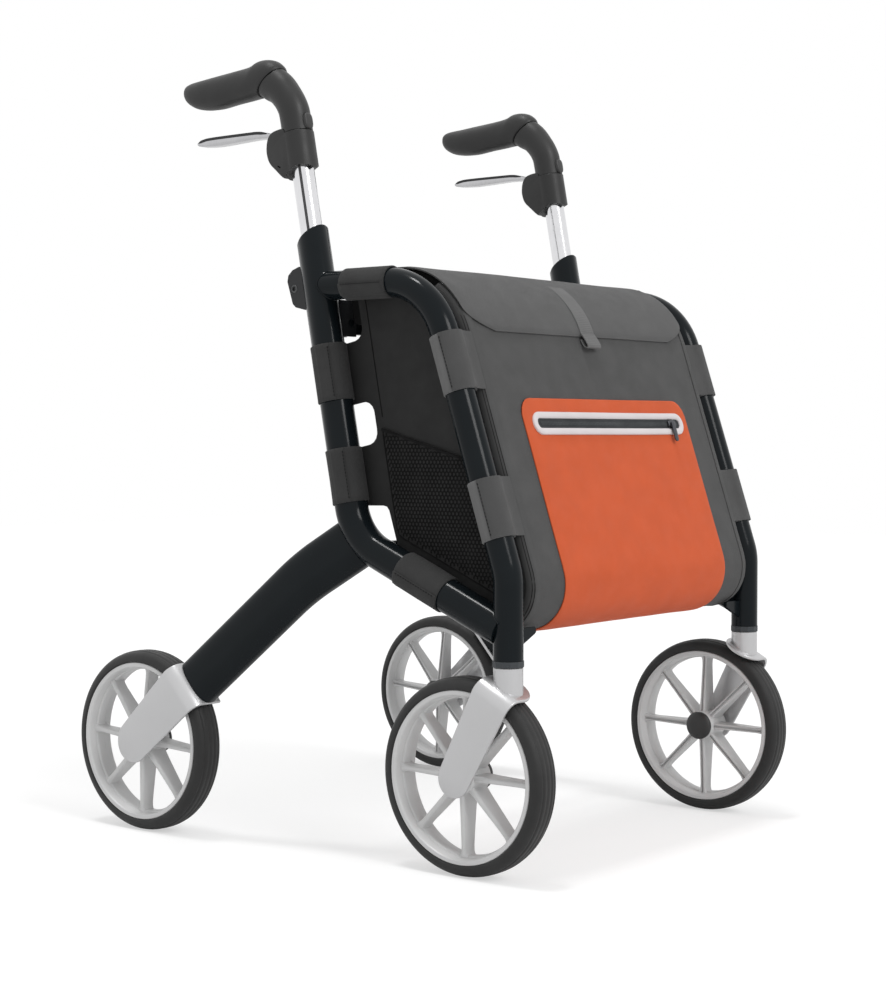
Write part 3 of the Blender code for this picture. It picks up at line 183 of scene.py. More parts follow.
def area_of(outline: Line) -> float:
    """Returns the area inside a flat outline."""
    return abs(sum(a.cross(b) for a, b in zip(outline, [*outline[1:], outline[0]]))) / 2


def box_of(outline: Line) -> tuple[list[float], list[float]]:
    """Returns the lowest and the highest of a flat outline's two numbers."""
    return tuple([pick(point[axis] for point in outline) for axis in (0, 1)] for pick in (min, max))


def spaced(points: Line, step: float) -> Line:
    """Returns points at an even spacing of about one step along a line."""
    lengths = [0.0]
    for before, after in zip(points, points[1:]):
        lengths.append(lengths[-1] + (after - before).length)
    count = max(1, round(lengths[-1] / step))
    found, at = [], 0
    for index in range(count + 1):
        wanted = lengths[-1] * index / count
        while at < len(lengths) - 2 and lengths[at + 1] < wanted:
            at += 1
        share = (wanted - lengths[at]) / max(1e-9, lengths[at + 1] - lengths[at])
        found.append(points[at].lerp(points[at + 1], share))
    return found


# ---- Forms ----


@dataclass
class Form:
    """Points and faces of a shape that is being made."""

    points: Line = field(default_factory=list)
    faces: list[list[int]] = field(default_factory=list)

    def skin(self, rings: Sequence[Line], wrap: bool = True, loop: bool = False) -> "Form":
        """Adds a surface through rings of equal count, with its ends filled where it has them.

        Args:
            rings: Rows of points.
            wrap: Whether each row closes on itself.
            loop: Whether the last row joins the first.

        Returns:
            This form.
        """
        start, count, rows = len(self.points), len(rings[0]), len(rings)
        for ring in rings:
            self.points += ring
        for row in range(rows if loop else rows - 1):
            near, far = start + row * count, start + (row + 1) % rows * count
            for column in range(count if wrap else count - 1):
                after = (column + 1) % count
                self.faces.append([near + column, near + after, far + after, far + column])
        for end in (0, rows - 1) if wrap and not loop else ():
            self.faces.append([start + end * count + column for column in range(count)])
        return self

    def rows(self, count: int = 40) -> list[Line]:
        """Returns the points in rings of that count."""
        return [self.points[at : at + count] for at in range(0, len(self.points), count)]

    def add(self, *others: "Form") -> "Form":
        """Adds other forms to this one, and returns it."""
        for other in others:
            start = len(self.points)
            self.points += other.points
            self.faces += [[start + index for index in face] for face in other.faces]
        return self


def circle(radius: float, sides: int = 40) -> Offsets:
    """Returns a round section."""
    turns = [2 * math.pi * (step + 0.5) / sides for step in range(sides)]
    return [(radius * math.cos(turn), radius * math.sin(turn)) for turn in turns]


def oval(half_wide: float, half_high: float, power: float = 2.0, sides: int = 48) -> Offsets:
    """Returns an oval section, which gets squarer as the power grows."""
    section = []
    for across, up in circle(1.0, sides):
        squared = [math.copysign(abs(value) ** (2 / power), value) for value in (across, up)]
        section.append((half_wide * squared[0], half_high * squared[1]))
    return section


def arc(start: float, end: float, steps: int) -> Offsets:
    """Returns the cosine and the sine of even turns from start to end, in degrees."""
    return [cos_sin(start + (end - start) * step / steps) for step in range(steps + 1)]


def slab(half_wide: float, half_thick: float, corner: float, steps: int = 3) -> Offsets:
    """Returns a rectangular section with rounded corners."""
    corner = min(corner, half_wide * 0.95, half_thick * 0.95)
    wide, thick, section = half_wide - corner, half_thick - corner, []
    for quarter, (across, up) in enumerate(((1, 1), (-1, 1), (-1, -1), (1, -1))):
        turns = arc(90 * quarter, 90 * quarter + 90, steps)
        section += [(across * wide + corner * level, up * thick + corner * rise) for level, rise in turns]
    return section


def sweep(
    path: Line,
    sections: Offsets | Sequence[Offsets],
    alongs: dict[int, Vector] | None = None,
    cuts: dict[int, Vector] | None = None,
    loop: bool = False,
) -> Form:
    """Draws a section along a path.

    Args:
        path: The centre line.
        sections: One section, or one for each point of the path.
        alongs: The direction of travel at some points, where it isn't that of the path.
        cuts: Normals of planes that cut the rings at some points.
        loop: Whether the path closes on itself.

    Returns:
        The swept form.
    """
    last = len(path) - 1
    shared = isinstance(sections[0][0], float)
    rings = []
    for index, point in enumerate(path):
        before = path[index - 1] if index or loop else point
        after = path[(index + 1) % len(path)] if index < last or loop else point
        along = (alongs or {}).get(index, after - before).normalized()
        side = X_AXIS if abs(along.x) < 0.9 else Y_AXIS
        side = (side - side.dot(along) * along).normalized()
        up = along.cross(side)
        section = sections if shared else sections[index]
        ring = [point + side * across + up * rise for across, rise in section]
        normal = (cuts or {}).get(index)
        if normal is not None:
            ring = [at + along * (point - at).dot(normal) / along.dot(normal) for at in ring]
        rings.append(ring)
    return Form().skin(rings, loop=loop)


def lathe(profile: Offsets, centre: Vector, axis: Vector, sides: int = 64, ring: bool = False) -> Form:
    """Turns a profile about an axis.

    Args:
        profile: (distance along the axis, radius) pairs.
        centre: Where the distance is zero.
        axis: The axis's direction.
        sides: Facets round the axis.
        ring: Whether the profile closes on itself, as a tyre's does.

    Returns:
        The turned form.
    """
    axis = axis.normalized()
    across = (X_AXIS if abs(axis.z) > 0.7 else Z_AXIS.cross(axis)).normalized()
    up = axis.cross(across)
    rings = []
    for distance, radius in profile:
        hub, reach = centre + axis * distance, max(radius, 0.00015)
        rings.append([hub + across * a + up * b for a, b in circle(reach, sides)])
    return Form().skin(rings, loop=ring)


def side_prism(outline: Line, x_start: float, x_end: float) -> Form:
    """Returns a side-plane outline extruded along X."""
    return Form().skin([[at_side(point, x) for point in outline] for x in (x_start, x_end)])


def filled(outline: Line, place: Callable[[Vector], Vector], step: float) -> Form:
    """Fills a flat outline with small triangles, so that it can be bent.

    Args:
        outline: The outline's points in the plane.
        place: Takes a point of the plane to space.
        step: The triangles' size.

    Returns:
        The filled sheet.
    """
    count = len(outline)
    lows, highs = box_of(outline)
    inner = []
    rows = int((highs[1] - lows[1]) / step)
    for row in range(1, rows + 1):
        shift = step / 2 * (row % 2)
        for column in range(int((highs[0] - lows[0]) / step) + 1):
            point = Vector((lows[0] + shift + column * step, lows[1] + row * step * 0.98))
            if inside(point, outline) and min((point - edge).length for edge in outline) > step * 0.5:
                inner.append(point)
    edges = [(index, (index + 1) % count) for index in range(count)]
    found = delaunay_2d_cdt([*outline, *inner], edges, [list(range(count))], 1, 1e-7)
    return Form([place(point) for point in found[0]], [list(face) for face in found[2]])


def inside(point: Vector, outline: Line) -> bool:
    """Returns whether a point of the plane lies inside an outline."""
    found = False
    for before, after in zip([outline[-1], *outline], outline):
        if (before[1] > point[1]) != (after[1] > point[1]):
            share = (point[1] - before[1]) / (after[1] - before[1])
            if point[0] < before[0] + share * (after[0] - before[0]):
                found = not found
    return found


def stitch_row(line: Line, outwards: Vector) -> Form:
    """Returns sewn stitches along a line of space, each a small bead of thread.

    Args:
        line: The seam's line.
        outwards: The cloth's outward direction.

    Returns:
        All the stitches as one form.
    """
    pitch = 0.0036  # a real one is nearer 3 mm
    places = spaced(line, pitch)
    made = Form()
    for start, end in zip(places, places[1:]):
        along = (end - start) * 0.31
        middle = (start + end) / 2 + outwards * 0.00025
        sections = [circle(0.00045 * size, 6) for size in (0.45, 1.0, 1.0, 0.45)]
        made.add(sweep([middle + along * share for share in (-1, -0.6, 0.6, 1)], sections))
    return made


# ---- Pieces ----


def raw_object(name: str, form: Form) -> bpy.types.Object:
    """Returns a linked object with the form's mesh, its faces turned outwards."""
    mesh = bpy.data.meshes.new(name)
    mesh.from_pydata([tuple(point) for point in form.points], [], form.faces)
    shell = bmesh.new()
    shell.from_mesh(mesh)
    bmesh.ops.recalc_face_normals(shell, faces=shell.faces)
    shell.to_mesh(mesh)
    shell.free()
    item = bpy.data.objects.new(name, mesh)
    bpy.context.scene.collection.objects.link(item)
    return item


def apply_modifiers(item: bpy.types.Object) -> None:
    """Writes an object's modifiers into its mesh."""
    graph = bpy.context.evaluated_depsgraph_get()
    mesh = bpy.data.meshes.new_from_object(item.evaluated_get(graph))
    item.modifiers.clear()
    item.data = mesh


def modify(item: bpy.types.Object, kind: str, **settings: Any) -> None:
    """Adds a modifier with its settings."""
    modifier = item.modifiers.new(kind.title(), kind)
    for name, value in settings.items():
        setattr(modifier, name, value)


def worked(
    name: str,
    form: Form,
    joins: Sequence[Form] = (),
    cuts: Sequence[Form] = (),
    thick: float = 0.0,
    bevel: float = 0.0,
    sharp: float = 38.0,
) -> bpy.types.Object:
    """Makes an object from a form, with its booleans and its edge work applied.

    Args:
        name: The object's name.
        form: Its first shape.
        joins: Shapes that are joined on before the cuts.
        cuts: Shapes that are cut away.
        thick: The thickness that a sheet is given.
        bevel: The width of its rounded edges.
        sharp: Edges that turn by more degrees than this stay crisp.

    Returns:
        The finished object.
    """
    item = raw_object(name, form)
    tools = []
    for operation, shapes in (("UNION", joins), ("DIFFERENCE", cuts)):
        for shape in shapes:
            tools.append(raw_object(f"{name}.tool", shape))
            modify(item, "BOOLEAN", operation=operation, solver="EXACT", object=tools[-1])
    if thick:
        modify(item, "SOLIDIFY", thickness=thick, offset=0.0, use_even_offset=True)
    if bevel:
        modify(item, "BEVEL", width=bevel, segments=2, limit_method="ANGLE", angle_limit=math.radians(32))
    if item.modifiers:
        apply_modifiers(item)
    for tool in tools:
        bpy.data.objects.remove(tool)
    item.data.shade_smooth()
    item.data.set_sharp_from_angle(angle=math.radians(sharp))
    return item


def piece(
    name: str,
    form: Form,
    finish: "Finish",
    body: str,
    slot: str = "",
    *nodes: str,
    folds: bool = False,
    **work: Any,
) -> bpy.types.Object:
    """Makes a piece, gives it its finish and its body, and reports it.

    Args:
        name: Its name.
        form: Its first shape.
        finish: What it is made of.
        body: The CAD body that it rides on.
        slot: The record's material slot; not used.
        nodes: The CAD nodes that it stands for.
        folds: Whether it is cloth that closes up between the frames; such a piece only gets a mesh of its own
            here.
        work: How it is worked, by the words of worked.

    Returns:
        The piece.
    """
    item = worked(name, form, **work)
    item.data.materials.clear()
    item.data.materials.append(finish.material())
    if folds:
        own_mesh(item)
    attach(item, body)
    if nodes:
        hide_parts(*nodes)
    log.info("%s: %d faces, %s, on %s", item.name, len(item.data.polygons), finish.name, body)
    return item


# ---- Finishes ----


def linear(code: str) -> tuple[float, float, float, float]:
    """Returns the linear colour of an sRGB hex code."""
    parts = [int(code[at : at + 2], 16) / 255 for at in (1, 3, 5)]
    red, green, blue = (p / 12.92 if p <= 0.04045 else ((p + 0.055) / 1.055) ** 2.4 for p in parts)
    return red, green, blue, 1.0


class Nodes:
    """The node tree of a material or a world, and the one way that nodes are added to it."""

    def __init__(self, owner: bpy.types.ID) -> None:
        """Empties the owner's tree."""
        owner.use_nodes = True
        self.tree = owner.node_tree
        self.tree.nodes.clear()

    def add(self, kind: str, inputs: dict[str | int, Any] | None = None, **settings: Any) -> bpy.types.Node:
        """Adds a node.

        Args:
            kind: The shader node's type, without its prefix.
            inputs: Values, or the sockets to link, by input name or number.
            settings: The node's own settings.

        Returns:
            The new node.
        """
        node = self.tree.nodes.new(f"ShaderNode{kind}")
        for name, value in settings.items():
            setattr(node, name, value)
        for name, value in (inputs or {}).items():
            if isinstance(value, bpy.types.NodeSocket):
                self.tree.links.new(value, node.inputs[name])
            else:
                node.inputs[name].default_value = value
        return node

    def maths(self, operation: str, *values: Any) -> bpy.types.NodeSocket:
        """Returns the result of a sum on numbers or sockets."""
        return self.add("Math", dict(enumerate(values)), operation=operation).outputs[0]

    def noise(self, place: Any, size: float, detail: float = 2.0) -> bpy.types.NodeSocket:
        """Returns noise with features of about that size, in metres."""
        return self.add("TexNoise", {"Vector": place, "Scale": 1 / size, "Detail": detail}).outputs["Fac"]

    def leaned(self, place: Any, degrees: float) -> Any:
        """Returns a place's X, Y and Z after it is turned about X, so that Z runs along leaning cloth."""
        inputs = {"Vector": place, "Angle": math.radians(degrees)}
        turned = self.add("VectorRotate", inputs, rotation_type="X_AXIS")
        return self.add("SeparateXYZ", {0: turned.outputs[0]}).outputs

    def ridges(self, value: Any, pitch: float) -> bpy.types.NodeSocket:
        """Returns round ridges, from 0 to 1, of that pitch."""
        return self.maths("ABSOLUTE", self.maths("SINE", self.maths("MULTIPLY", value, math.pi / pitch)))

    def blended(self, first: Any, second: Any, share: float, depth: float) -> tuple[Any, Any]:
        """Returns the tone and the height of two reliefs, the first of that share; the tone is painted shade that
        darkens the low places by that depth.
        """
        height = self.maths("ADD", self.maths("MULTIPLY", first, share), self.maths("MULTIPLY", second, 1 - share))
        return self.maths("ADD", self.maths("MULTIPLY", height, depth), 1 - depth * 0.6), height

    def spread(self, value: Any, low: float, high: float) -> bpy.types.NodeSocket:
        """Returns a value from 0.3 to 0.7, spread from low to high."""
        inputs = {"Value": value, "From Min": 0.3, "From Max": 0.7, "To Min": low, "To Max": high}
        return self.add("MapRange", inputs).outputs["Result"]


@dataclass(frozen=True)
class Finish:
    """What a surface is made of: its colour, its shine, its mottling and its fine relief.

    Attributes:
        name: The real material.
        colour: Its colour, as sRGB hex.
        rough: How wide its highlights spread.
        metal: One for bare metal.
        level: The strength of its reflections. One half is that of common plastic.
        sheen: The pale rim of fibres or dust.
        mottle: How far its tone wanders.
        patch: The size of the wandering patches.
        grain: The size of the fine relief.
        relief: The height of the fine relief.
    """

    name: str
    colour: str
    rough: float = 0.5
    metal: float = 0.0
    level: float = 0.5
    sheen: float = 0.0
    mottle: float = 0.05
    patch: float = 0.03
    grain: float = 0.0006
    relief: float = 0.00002

    def material(self) -> bpy.types.Material:
        """Returns the finish's material, and makes it at the first call."""
        known = bpy.data.materials.get(self.name)
        if known:
            return known
        made = bpy.data.materials.new(self.name)
        nodes = Nodes(made)
        place = nodes.add("TexCoord").outputs["Object"]
        tone, height = self.pattern(nodes, place)
        wander = nodes.spread(nodes.noise(place, self.patch, 3.0), 1 - self.mottle, 1 + self.mottle)
        colour = nodes.add(
            "VectorMath",
            {0: linear(self.colour)[:3], "Scale": nodes.maths("MULTIPLY", wander, tone)},
            operation="SCALE",
        )
        rough = nodes.spread(nodes.noise(place, self.patch * 0.6, 2.0), self.rough * 0.88, self.rough * 1.12)
        bump = nodes.add("Bump", {"Height": height, "Strength": 1.0, "Distance": self.relief})
        shader = nodes.add(
            "BsdfPrincipled",
            {
                "Base Color": colour.outputs[0],
                "Roughness": rough,
                "Metallic": self.metal,
                "Specular IOR Level": self.level,
                "Sheen Weight": self.sheen,
                "Sheen Roughness": 0.6,
                "Normal": bump.outputs[0],
            },
        )
        nodes.add("OutputMaterial", {"Surface": shader.outputs[0]})
        made.diffuse_color = linear(self.colour)
        return made

    def pattern(self, nodes: Nodes, place: Any) -> tuple[Any, Any]:
        """Returns the tone, near one, and the height, from 0 to 1, at a place: here a fine even grain."""
        return 1.0, nodes.noise(place, self.grain, 3.0)


@dataclass(frozen=True)
class Brushed(Finish):
    """Metal with marks that run one way.

    Attributes:
        squeeze: How much shorter the marks are along X, Y and Z.
    """

    squeeze: tuple[float, float, float] = (1.0, 1.0, 0.04)

    def pattern(self, nodes: Nodes, place: Any) -> tuple[Any, Any]:
        """Returns the tone and the height of the marks."""
        drawn = nodes.add("VectorMath", {0: place, 1: self.squeeze}, operation="MULTIPLY").outputs[0]
        marks = nodes.noise(drawn, self.grain, 4.0)
        return nodes.spread(marks, 0.94, 1.06), marks


@dataclass(frozen=True)
class Woven(Finish):
    """Cloth of two sets of threads that cross at right angles.

    Attributes:
        thread: The width of a thread and its gap.
        lean: How far the cloth's upright threads lean back, in degrees.
        across: The axis that the other threads follow, X for the front and Y for the sides.
        depth: How much darker the gaps are, as painted shade between the threads.
    """

    thread: float = 0.0011
    lean: float = 0.0
    across: str = "X"
    depth: float = 0.18

    def pattern(self, nodes: Nodes, place: Any) -> tuple[Any, Any]:
        """Returns the tone and the height of the threads."""
        parts = nodes.leaned(place, self.lean)
        ways = [parts[axis] for axis in (self.across, "Z")]
        waves = [nodes.ridges(way, self.thread) for way in ways]
        steps = [nodes.maths("FLOOR", nodes.maths("MULTIPLY", way, 1 / self.thread)) for way in ways]
        odd = nodes.maths("PINGPONG", nodes.maths("ADD", *steps), 1.0)
        over = nodes.add("Mix", {"Factor": odd, "A": waves[0], "B": waves[1]}).outputs[0]
        return nodes.blended(over, nodes.noise(place, self.thread * 3), 0.8, self.depth)


@dataclass(frozen=True)
class Ribbed(Finish):
    """Tape or piping with ribs across it.

    Attributes:
        rib: From one rib to the next.
        lean: How far the ribs' direction of travel leans back from upright, in degrees.
        depth: How much darker the hollows are, as painted shade between the ribs.
    """

    rib: float = 0.0022
    lean: float = 18.4
    depth: float = 0.25

    def pattern(self, nodes: Nodes, place: Any) -> tuple[Any, Any]:
        """Returns the tone and the height of the ribs."""
        parts = nodes.leaned(place, self.lean)
        threads = nodes.ridges(parts["X"], math.pi / 3200)
        return nodes.blended(nodes.ridges(parts["Z"], self.rib), threads, 0.7, self.depth)


# Near-black blue paint with a wet look: long soft bands of light down the tubes, crisp lines on the bends.
PAINT = Finish("gloss_frame_paint", "#12171A", 0.17, level=0.13, mottle=0.06, grain=0.0018, relief=0.00001)
# Bright plating on the telescopic tubes: it mirrors the white room, with grey edges.
CHROME = Brushed("bright_chrome", "#DEDEE0", 0.15, metal=1.0, mottle=0.03, grain=0.0006, relief=0.000003)
# Plated brake levers, a shade greyer than the tubes.
LEVER_STEEL = replace(CHROME, name="plated_lever_steel", colour="#BEBEC0", rough=0.24)
# Satin silver coat of the wheel blades: pale where it faces up, an even grey down its sides.
BLADE_STEEL = Finish("satin_silver_steel", "#C4C4C5", 0.32, metal=0.6, mottle=0.012, grain=0.0012, relief=0.000004)
# Zinc on the pins, stems and axles, a little duller and warmer than the blades.
ZINC = Finish("zinc_plated_steel", "#B4B3AF", 0.34, metal=1.0, mottle=0.08, patch=0.006)
# Moulded silver-grey nylon of the rims: satin, with a faint flow pattern.
RIM_NYLON = Finish("silver_grey_nylon", "#CDCDCD", 0.34, level=0.5, mottle=0.025, grain=0.0008)
# Solid grey tread rubber: dull, slightly dusty towards its edges.
TREAD = Finish(
    "grey_tread_rubber", "#232323", 0.6, level=0.3, sheen=0.08, mottle=0.08, grain=0.0009, relief=0.00004
)
# Black rubber of the brake shoes.
SHOE_RUBBER = Finish("black_rubber", "#1B1B1B", 0.7, level=0.3, mottle=0.08, relief=0.00004)
# Dark grey rubber of the seals over the casters, with a pale upper edge where the light catches it.
SEAL_RUBBER = Finish("grey_seal_rubber", "#34383B", 0.5, level=0.4, mottle=0.04)
# Soft-touch grips, necks and brake housings: dark grey, wide soft highlights.
GRIP_RUBBER = Finish("soft_grip_rubber", "#292929", 0.44, level=0.34, mottle=0.04, grain=0.0005, relief=0.00002)
# Black glass-filled nylon of the brackets, the bushes and the strips on the levers.
DARK_NYLON = Finish("black_moulded_nylon", "#202123", 0.4, level=0.36, mottle=0.06, grain=0.0007, relief=0.00002)
# Dark satin hub caps and buttons.
CAP_NYLON = Finish("satin_cap_nylon", "#333333", 0.38, level=0.4, mottle=0.04)
# The clamp bolts of the fold brackets, a shade paler than their mouldings.
BOLT_NYLON = replace(CAP_NYLON, name="blackened_bolt", colour="#4A4B4C", rough=0.4)
# Painted shade: a near-black that stands for the shade in deep slots and the gaps between mouldings.
SHADOW_GAP = Finish("dark_gap", "#0B0B0C", 0.8, level=0.1)
# Painted shade on the floor of the plated tube's groove: a flat dark grey that stands for the groove mirroring its
# own walls.
GROOVE_SHADE = Finish("groove_steel", "#4A4A4B", 0.5, level=0.3, mottle=0.04)
# Charcoal canvas of the bag's front, on the slope of the front tubes.
# Its threads, like those of all the cloths here, are drawn about twice as coarse as the real 0.5 mm.
CANVAS = Woven("charcoal_canvas", "#4A4A4A", 0.86, level=0.2, sheen=0.08, mottle=0.06, relief=0.00018, lean=18.4)
# The same canvas on the loops round the front tubes, painted a shade paler: painted light on their rounded faces.
LIT_LOOP_CANVAS = replace(CANVAS, name="loop_canvas", colour="#686868", rough=0.84, level=0.22)
# The same canvas painted a shade darker where the bag's front turns in beside the tubes: painted shade of the
# turned strip.
SHADED_CORNER_CANVAS = replace(CANVAS, name="corner_canvas", colour="#414141", rough=0.88, level=0.18, sheen=0.05)
# The same canvas a shade paler, as it lies on the lit flap.
FLAP_CANVAS = replace(CANVAS, name="flap_canvas", colour="#555555", rough=0.84, mottle=0.05, lean=60.0)
# Thinner, darker cloth of the side panels, with the threads level and upright.
SIDE_CLOTH = Woven(
    "dark_side_cloth", "#2F2F2F", 0.88, level=0.16, sheen=0.05, mottle=0.07, relief=0.00015, across="Y"
)
# The loops' binding tape, close to the side cloth.
LOOP_TAPE = replace(
    SIDE_CLOTH, name="dark_loop_tape", colour="#363636", rough=0.86, level=0.18, sheen=0.06, mottle=0.06
)
# Orange canvas of the pocket: warm, with a slightly darker lower roll.
ORANGE = replace(CANVAS, name="orange_canvas", colour="#CC5930", rough=0.85, sheen=0.06, mottle=0.04)
# Grey seat-belt webbing of the flap's pull.
WEBBING = Ribbed("grey_webbing", "#6A6A6A", 0.8, level=0.25, mottle=0.05, relief=0.0003, lean=40.0)
# Off-white plastic-coated piping round the zip's mouth.
PIPING = Finish("off_white_piping", "#D3CDCE", 0.5, level=0.35, mottle=0.04, grain=0.001, relief=0.00003)
# Dark tape that carries the zip's coil.
ZIP_TAPE = Ribbed("zip_tape", "#343638", 0.8, level=0.25, rib=0.0011, relief=0.0001)
# Nylon coil of the zip, a little paler on its ridges.
ZIP_COIL = Finish("zip_coil", "#474A4C", 0.5, level=0.35, grain=0.0005)
# Gunmetal slider and pull.
SLIDER_METAL = Finish("gunmetal_slider", "#4B4C50", 0.32, metal=0.8, mottle=0.1, patch=0.004)
# Black piping, net cord and hems. The edge tape's near-black also paints shade: the bag's collar is side cloth in
# shadow, and the net's hem takes in the shaded gap along its elastic.
EDGE_TAPE_AND_SHADE = Finish("black_edge_tape", "#111111", 0.85, level=0.15, sheen=0.03, grain=0.0007, relief=0.00005)
NET_CORD = Finish("black_net_cord", "#131313", 0.8, level=0.15, grain=0.0004, relief=0.00004)
# Cloth seen through the net, which shows as pale dots in its holes.
NET_BACKING = Woven("net_backing", "#343434", 0.9, level=0.12, mottle=0.14, relief=0.0002, across="Y")


# ---- Shared lines ----


@dataclass(frozen=True)
class Layout:
    """The lines of the side plane that several assemblies share, as the CAD model has them."""

    frame_x: float = 0.228
    rear_wheel_x: float = 0.2633
    upright_foot: Vector = Vector((-0.0645, 0.3314))
    upright_top_z: float = 0.6477
    upright_radius: float = 0.0175
    up: Vector = heading(79.2)
    behind: Vector = heading(-10.8)
    lower_along: Vector = heading(203.4)
    top_corner: Vector = Vector((-0.1641, 0.5955))
    front_down: Vector = heading(251.6)
    front_ahead: Vector = heading(161.6)
    front_foot_z: float = 0.3018
    front_end_z: float = 0.219
    front_radius: float = 0.015
    top_bend: float = 0.080
    stem_y: float = -0.2618
    front_axle: Vector = Vector((-0.2123, 0.1))
    rear_axle: Vector = Vector((0.2123, 0.1))
    leg_along: Vector = heading(-41.3)
    fork_up: Vector = heading(118.6)
    tyre_radius: float = 0.100
    bag_proud: float = 0.0135
    panel_outer_x: float = 0.2078

    def on_upright(self, z: float) -> Vector:
        """Returns the point of the upright's axis at height z."""
        return self.upright_foot + self.up * ((z - self.upright_foot.y) / self.up.y)

    def on_front_tube(self, z: float) -> Vector:
        """Returns the point of the front tube's straight axis at height z."""
        return self.top_corner + self.front_down * ((z - self.top_corner.y) / self.front_down.y)

    def on_lower_tube(self, y: float) -> Vector:
        """Returns the point of the lower tube's axis at depth y."""
        return self.upright_foot + self.lower_along * ((y - self.upright_foot.x) / self.lower_along.x)

    def upright_path(self, x: float) -> Line:
        """Returns the centre line of the upright and the lower tube, from the top."""
        end = self.on_lower_tube(self.stem_y + 0.006)
        corners = [at_side(point, x) for point in (self.on_upright(self.upright_top_z), self.upright_foot, end)]
        return rounded(corners, [0.065], steps=16)

    def front_path(self, x: float) -> Line:
        """Returns the centre line of the top and front tube, from the upright's face."""
        foot, end = (Vector((self.stem_y, z)) for z in (self.front_foot_z, self.front_end_z))
        corners = [self.on_upright(self.top_corner.y), self.top_corner, foot, end]
        return rounded([at_side(point, x) for point in corners], [self.top_bend, 0.060], steps=18)

    def hugging(self, offset: float, back_y: float, down: float, steps: int = 16) -> Line:
        """Returns the line that lies the offset outside the top and front tube.

        Args:
            offset: The distance from the tubes' centre line.
            back_y: Where the line starts, on the top tube.
            down: How far past the corner it ends, on the front tube.
            steps: Pieces in the bend.

        Returns:
            The side-plane points.
        """
        half = math.radians(35.8)
        centre = self.top_corner + Vector((self.top_bend * math.tan(half), -self.top_bend))
        level = self.top_corner.y + offset
        line = spaced([Vector((back_y, level)), Vector((centre.x, level))], 0.01)[:-1]
        for step in range(steps + 1):
            line.append(centre + heading(90 + 71.6 * step / steps) * (self.top_bend + offset))
        edge = self.top_bend * math.tan(half)
        if down > edge:
            line += spaced([line[-1], line[-1] + self.front_down * (down - edge)], 0.01)[1:]
        return line

    def on_front(self, x: float, down: float, offset: float) -> Vector:
        """Returns a point in front of the bag: x, distance down from the top corner, offset from the tubes."""
        return at_side(self.top_corner + self.front_down * down + self.front_ahead * offset, x)

    def bag_lines(self, proud: float = 0.0) -> tuple[Vector, Vector]:
        """Returns a point of the bag's front line and one of its bottom line, moved outwards by proud."""
        under = Vector((-self.lower_along.y, self.lower_along.x))
        return self.on_front(0, 0, self.bag_proud + proud).yz, self.upright_foot + under * (0.0195 + proud)

    def bag_outline(
        self, proud: float = 0.0, top_z: float = 0.588, round_front: float = 0.047, round_back: float = 0.024
    ) -> Line:
        """Returns the side-plane outline of the bag, from the top of its front to the top of its back.

        Args:
            proud: How far outside the CAD's outline it lies.
            top_z: The height of both ends.
            round_front: The radius of the foot's front corner.
            round_back: The radius of its back corner.

        Returns:
            The points of the outline.
        """
        over = self.hugging(self.bag_proud + proud, self.top_corner.x, 0)
        above = [point for point in over if point.y >= top_z]
        below = over[len(above) :]
        share = (above[-1].y - top_z) / (above[-1].y - below[0].y)
        front, bottom = self.bag_lines(proud)
        back = self.upright_foot - self.behind * (0.033 - proud)
        front_corner = crossing(front, self.front_down, bottom, self.lower_along)
        back_corner = crossing(back, self.up, bottom, self.lower_along)
        top = crossing(back, self.up, Vector((0, top_z)), Vector((1, 0)))
        foot = rounded([over[-1], front_corner, back_corner, top], [round_front, round_back], steps=12)
        return [above[-1].lerp(below[0], share), *below[:-1], *foot]


LINES = Layout()


def block(low: Sequence[float], high: Sequence[float]) -> Form:
    """Returns an upright box between two corners, in any order."""
    (x0, y0, z0), (x1, y1, z1) = low, high
    corners = [(x0, y0), (x1, y0), (x1, y1), (x0, y1)]
    return Form().skin([[Vector((x, y, z)) for x, y in corners] for z in (z0, z1)])


def rod(path: Line, radius: float, sides: int = 40, **options: Any) -> Form:
    """Returns a round bar along a path."""
    return sweep(path, circle(radius, sides), **options)


def bead(points: Line, radius: float, loop: bool = True) -> Form:
    """Returns a thin round line through points, such as a weld or a piece of piping."""
    return sweep(points, circle(radius, 8), loop=loop)


@dataclass(frozen=True)
class OneSide:
    """An assembly of one side, whose pieces are named for that side.

    Attributes:
        side: Which side it is on.
    """

    side: Side

    @property
    def x(self) -> float:
        """The plane of the side's frame."""
        return self.side.value * LINES.frame_x

    @property
    def body(self) -> str:
        """The CAD body that its pieces ride on."""
        return self.side.frame_body

    def piece(
        self, name: str, form: Form, finish: Finish, slot: str = "", *nodes: str, body: str = "", **work: Any
    ) -> bpy.types.Object:
        """Makes a piece as piece does, on this assembly's body, with the side's word in its name and its nodes.

        Args:
            name: Its name, without the side.
            form: Its first shape.
            finish: Its finish.
            slot: The CAD's material, passed on to piece.
            nodes: The CAD nodes that it stands in for, without the side.
            body: Another body that it rides on.
            work: What else piece takes.

        Returns:
            The piece.
        """
        names = [f"{node}_{self.side.tag}" for node in nodes]
        return piece(f"{name}.{self.side.tag}", form, finish, body or self.body, slot, *names, **work)


# ---- Frame ----


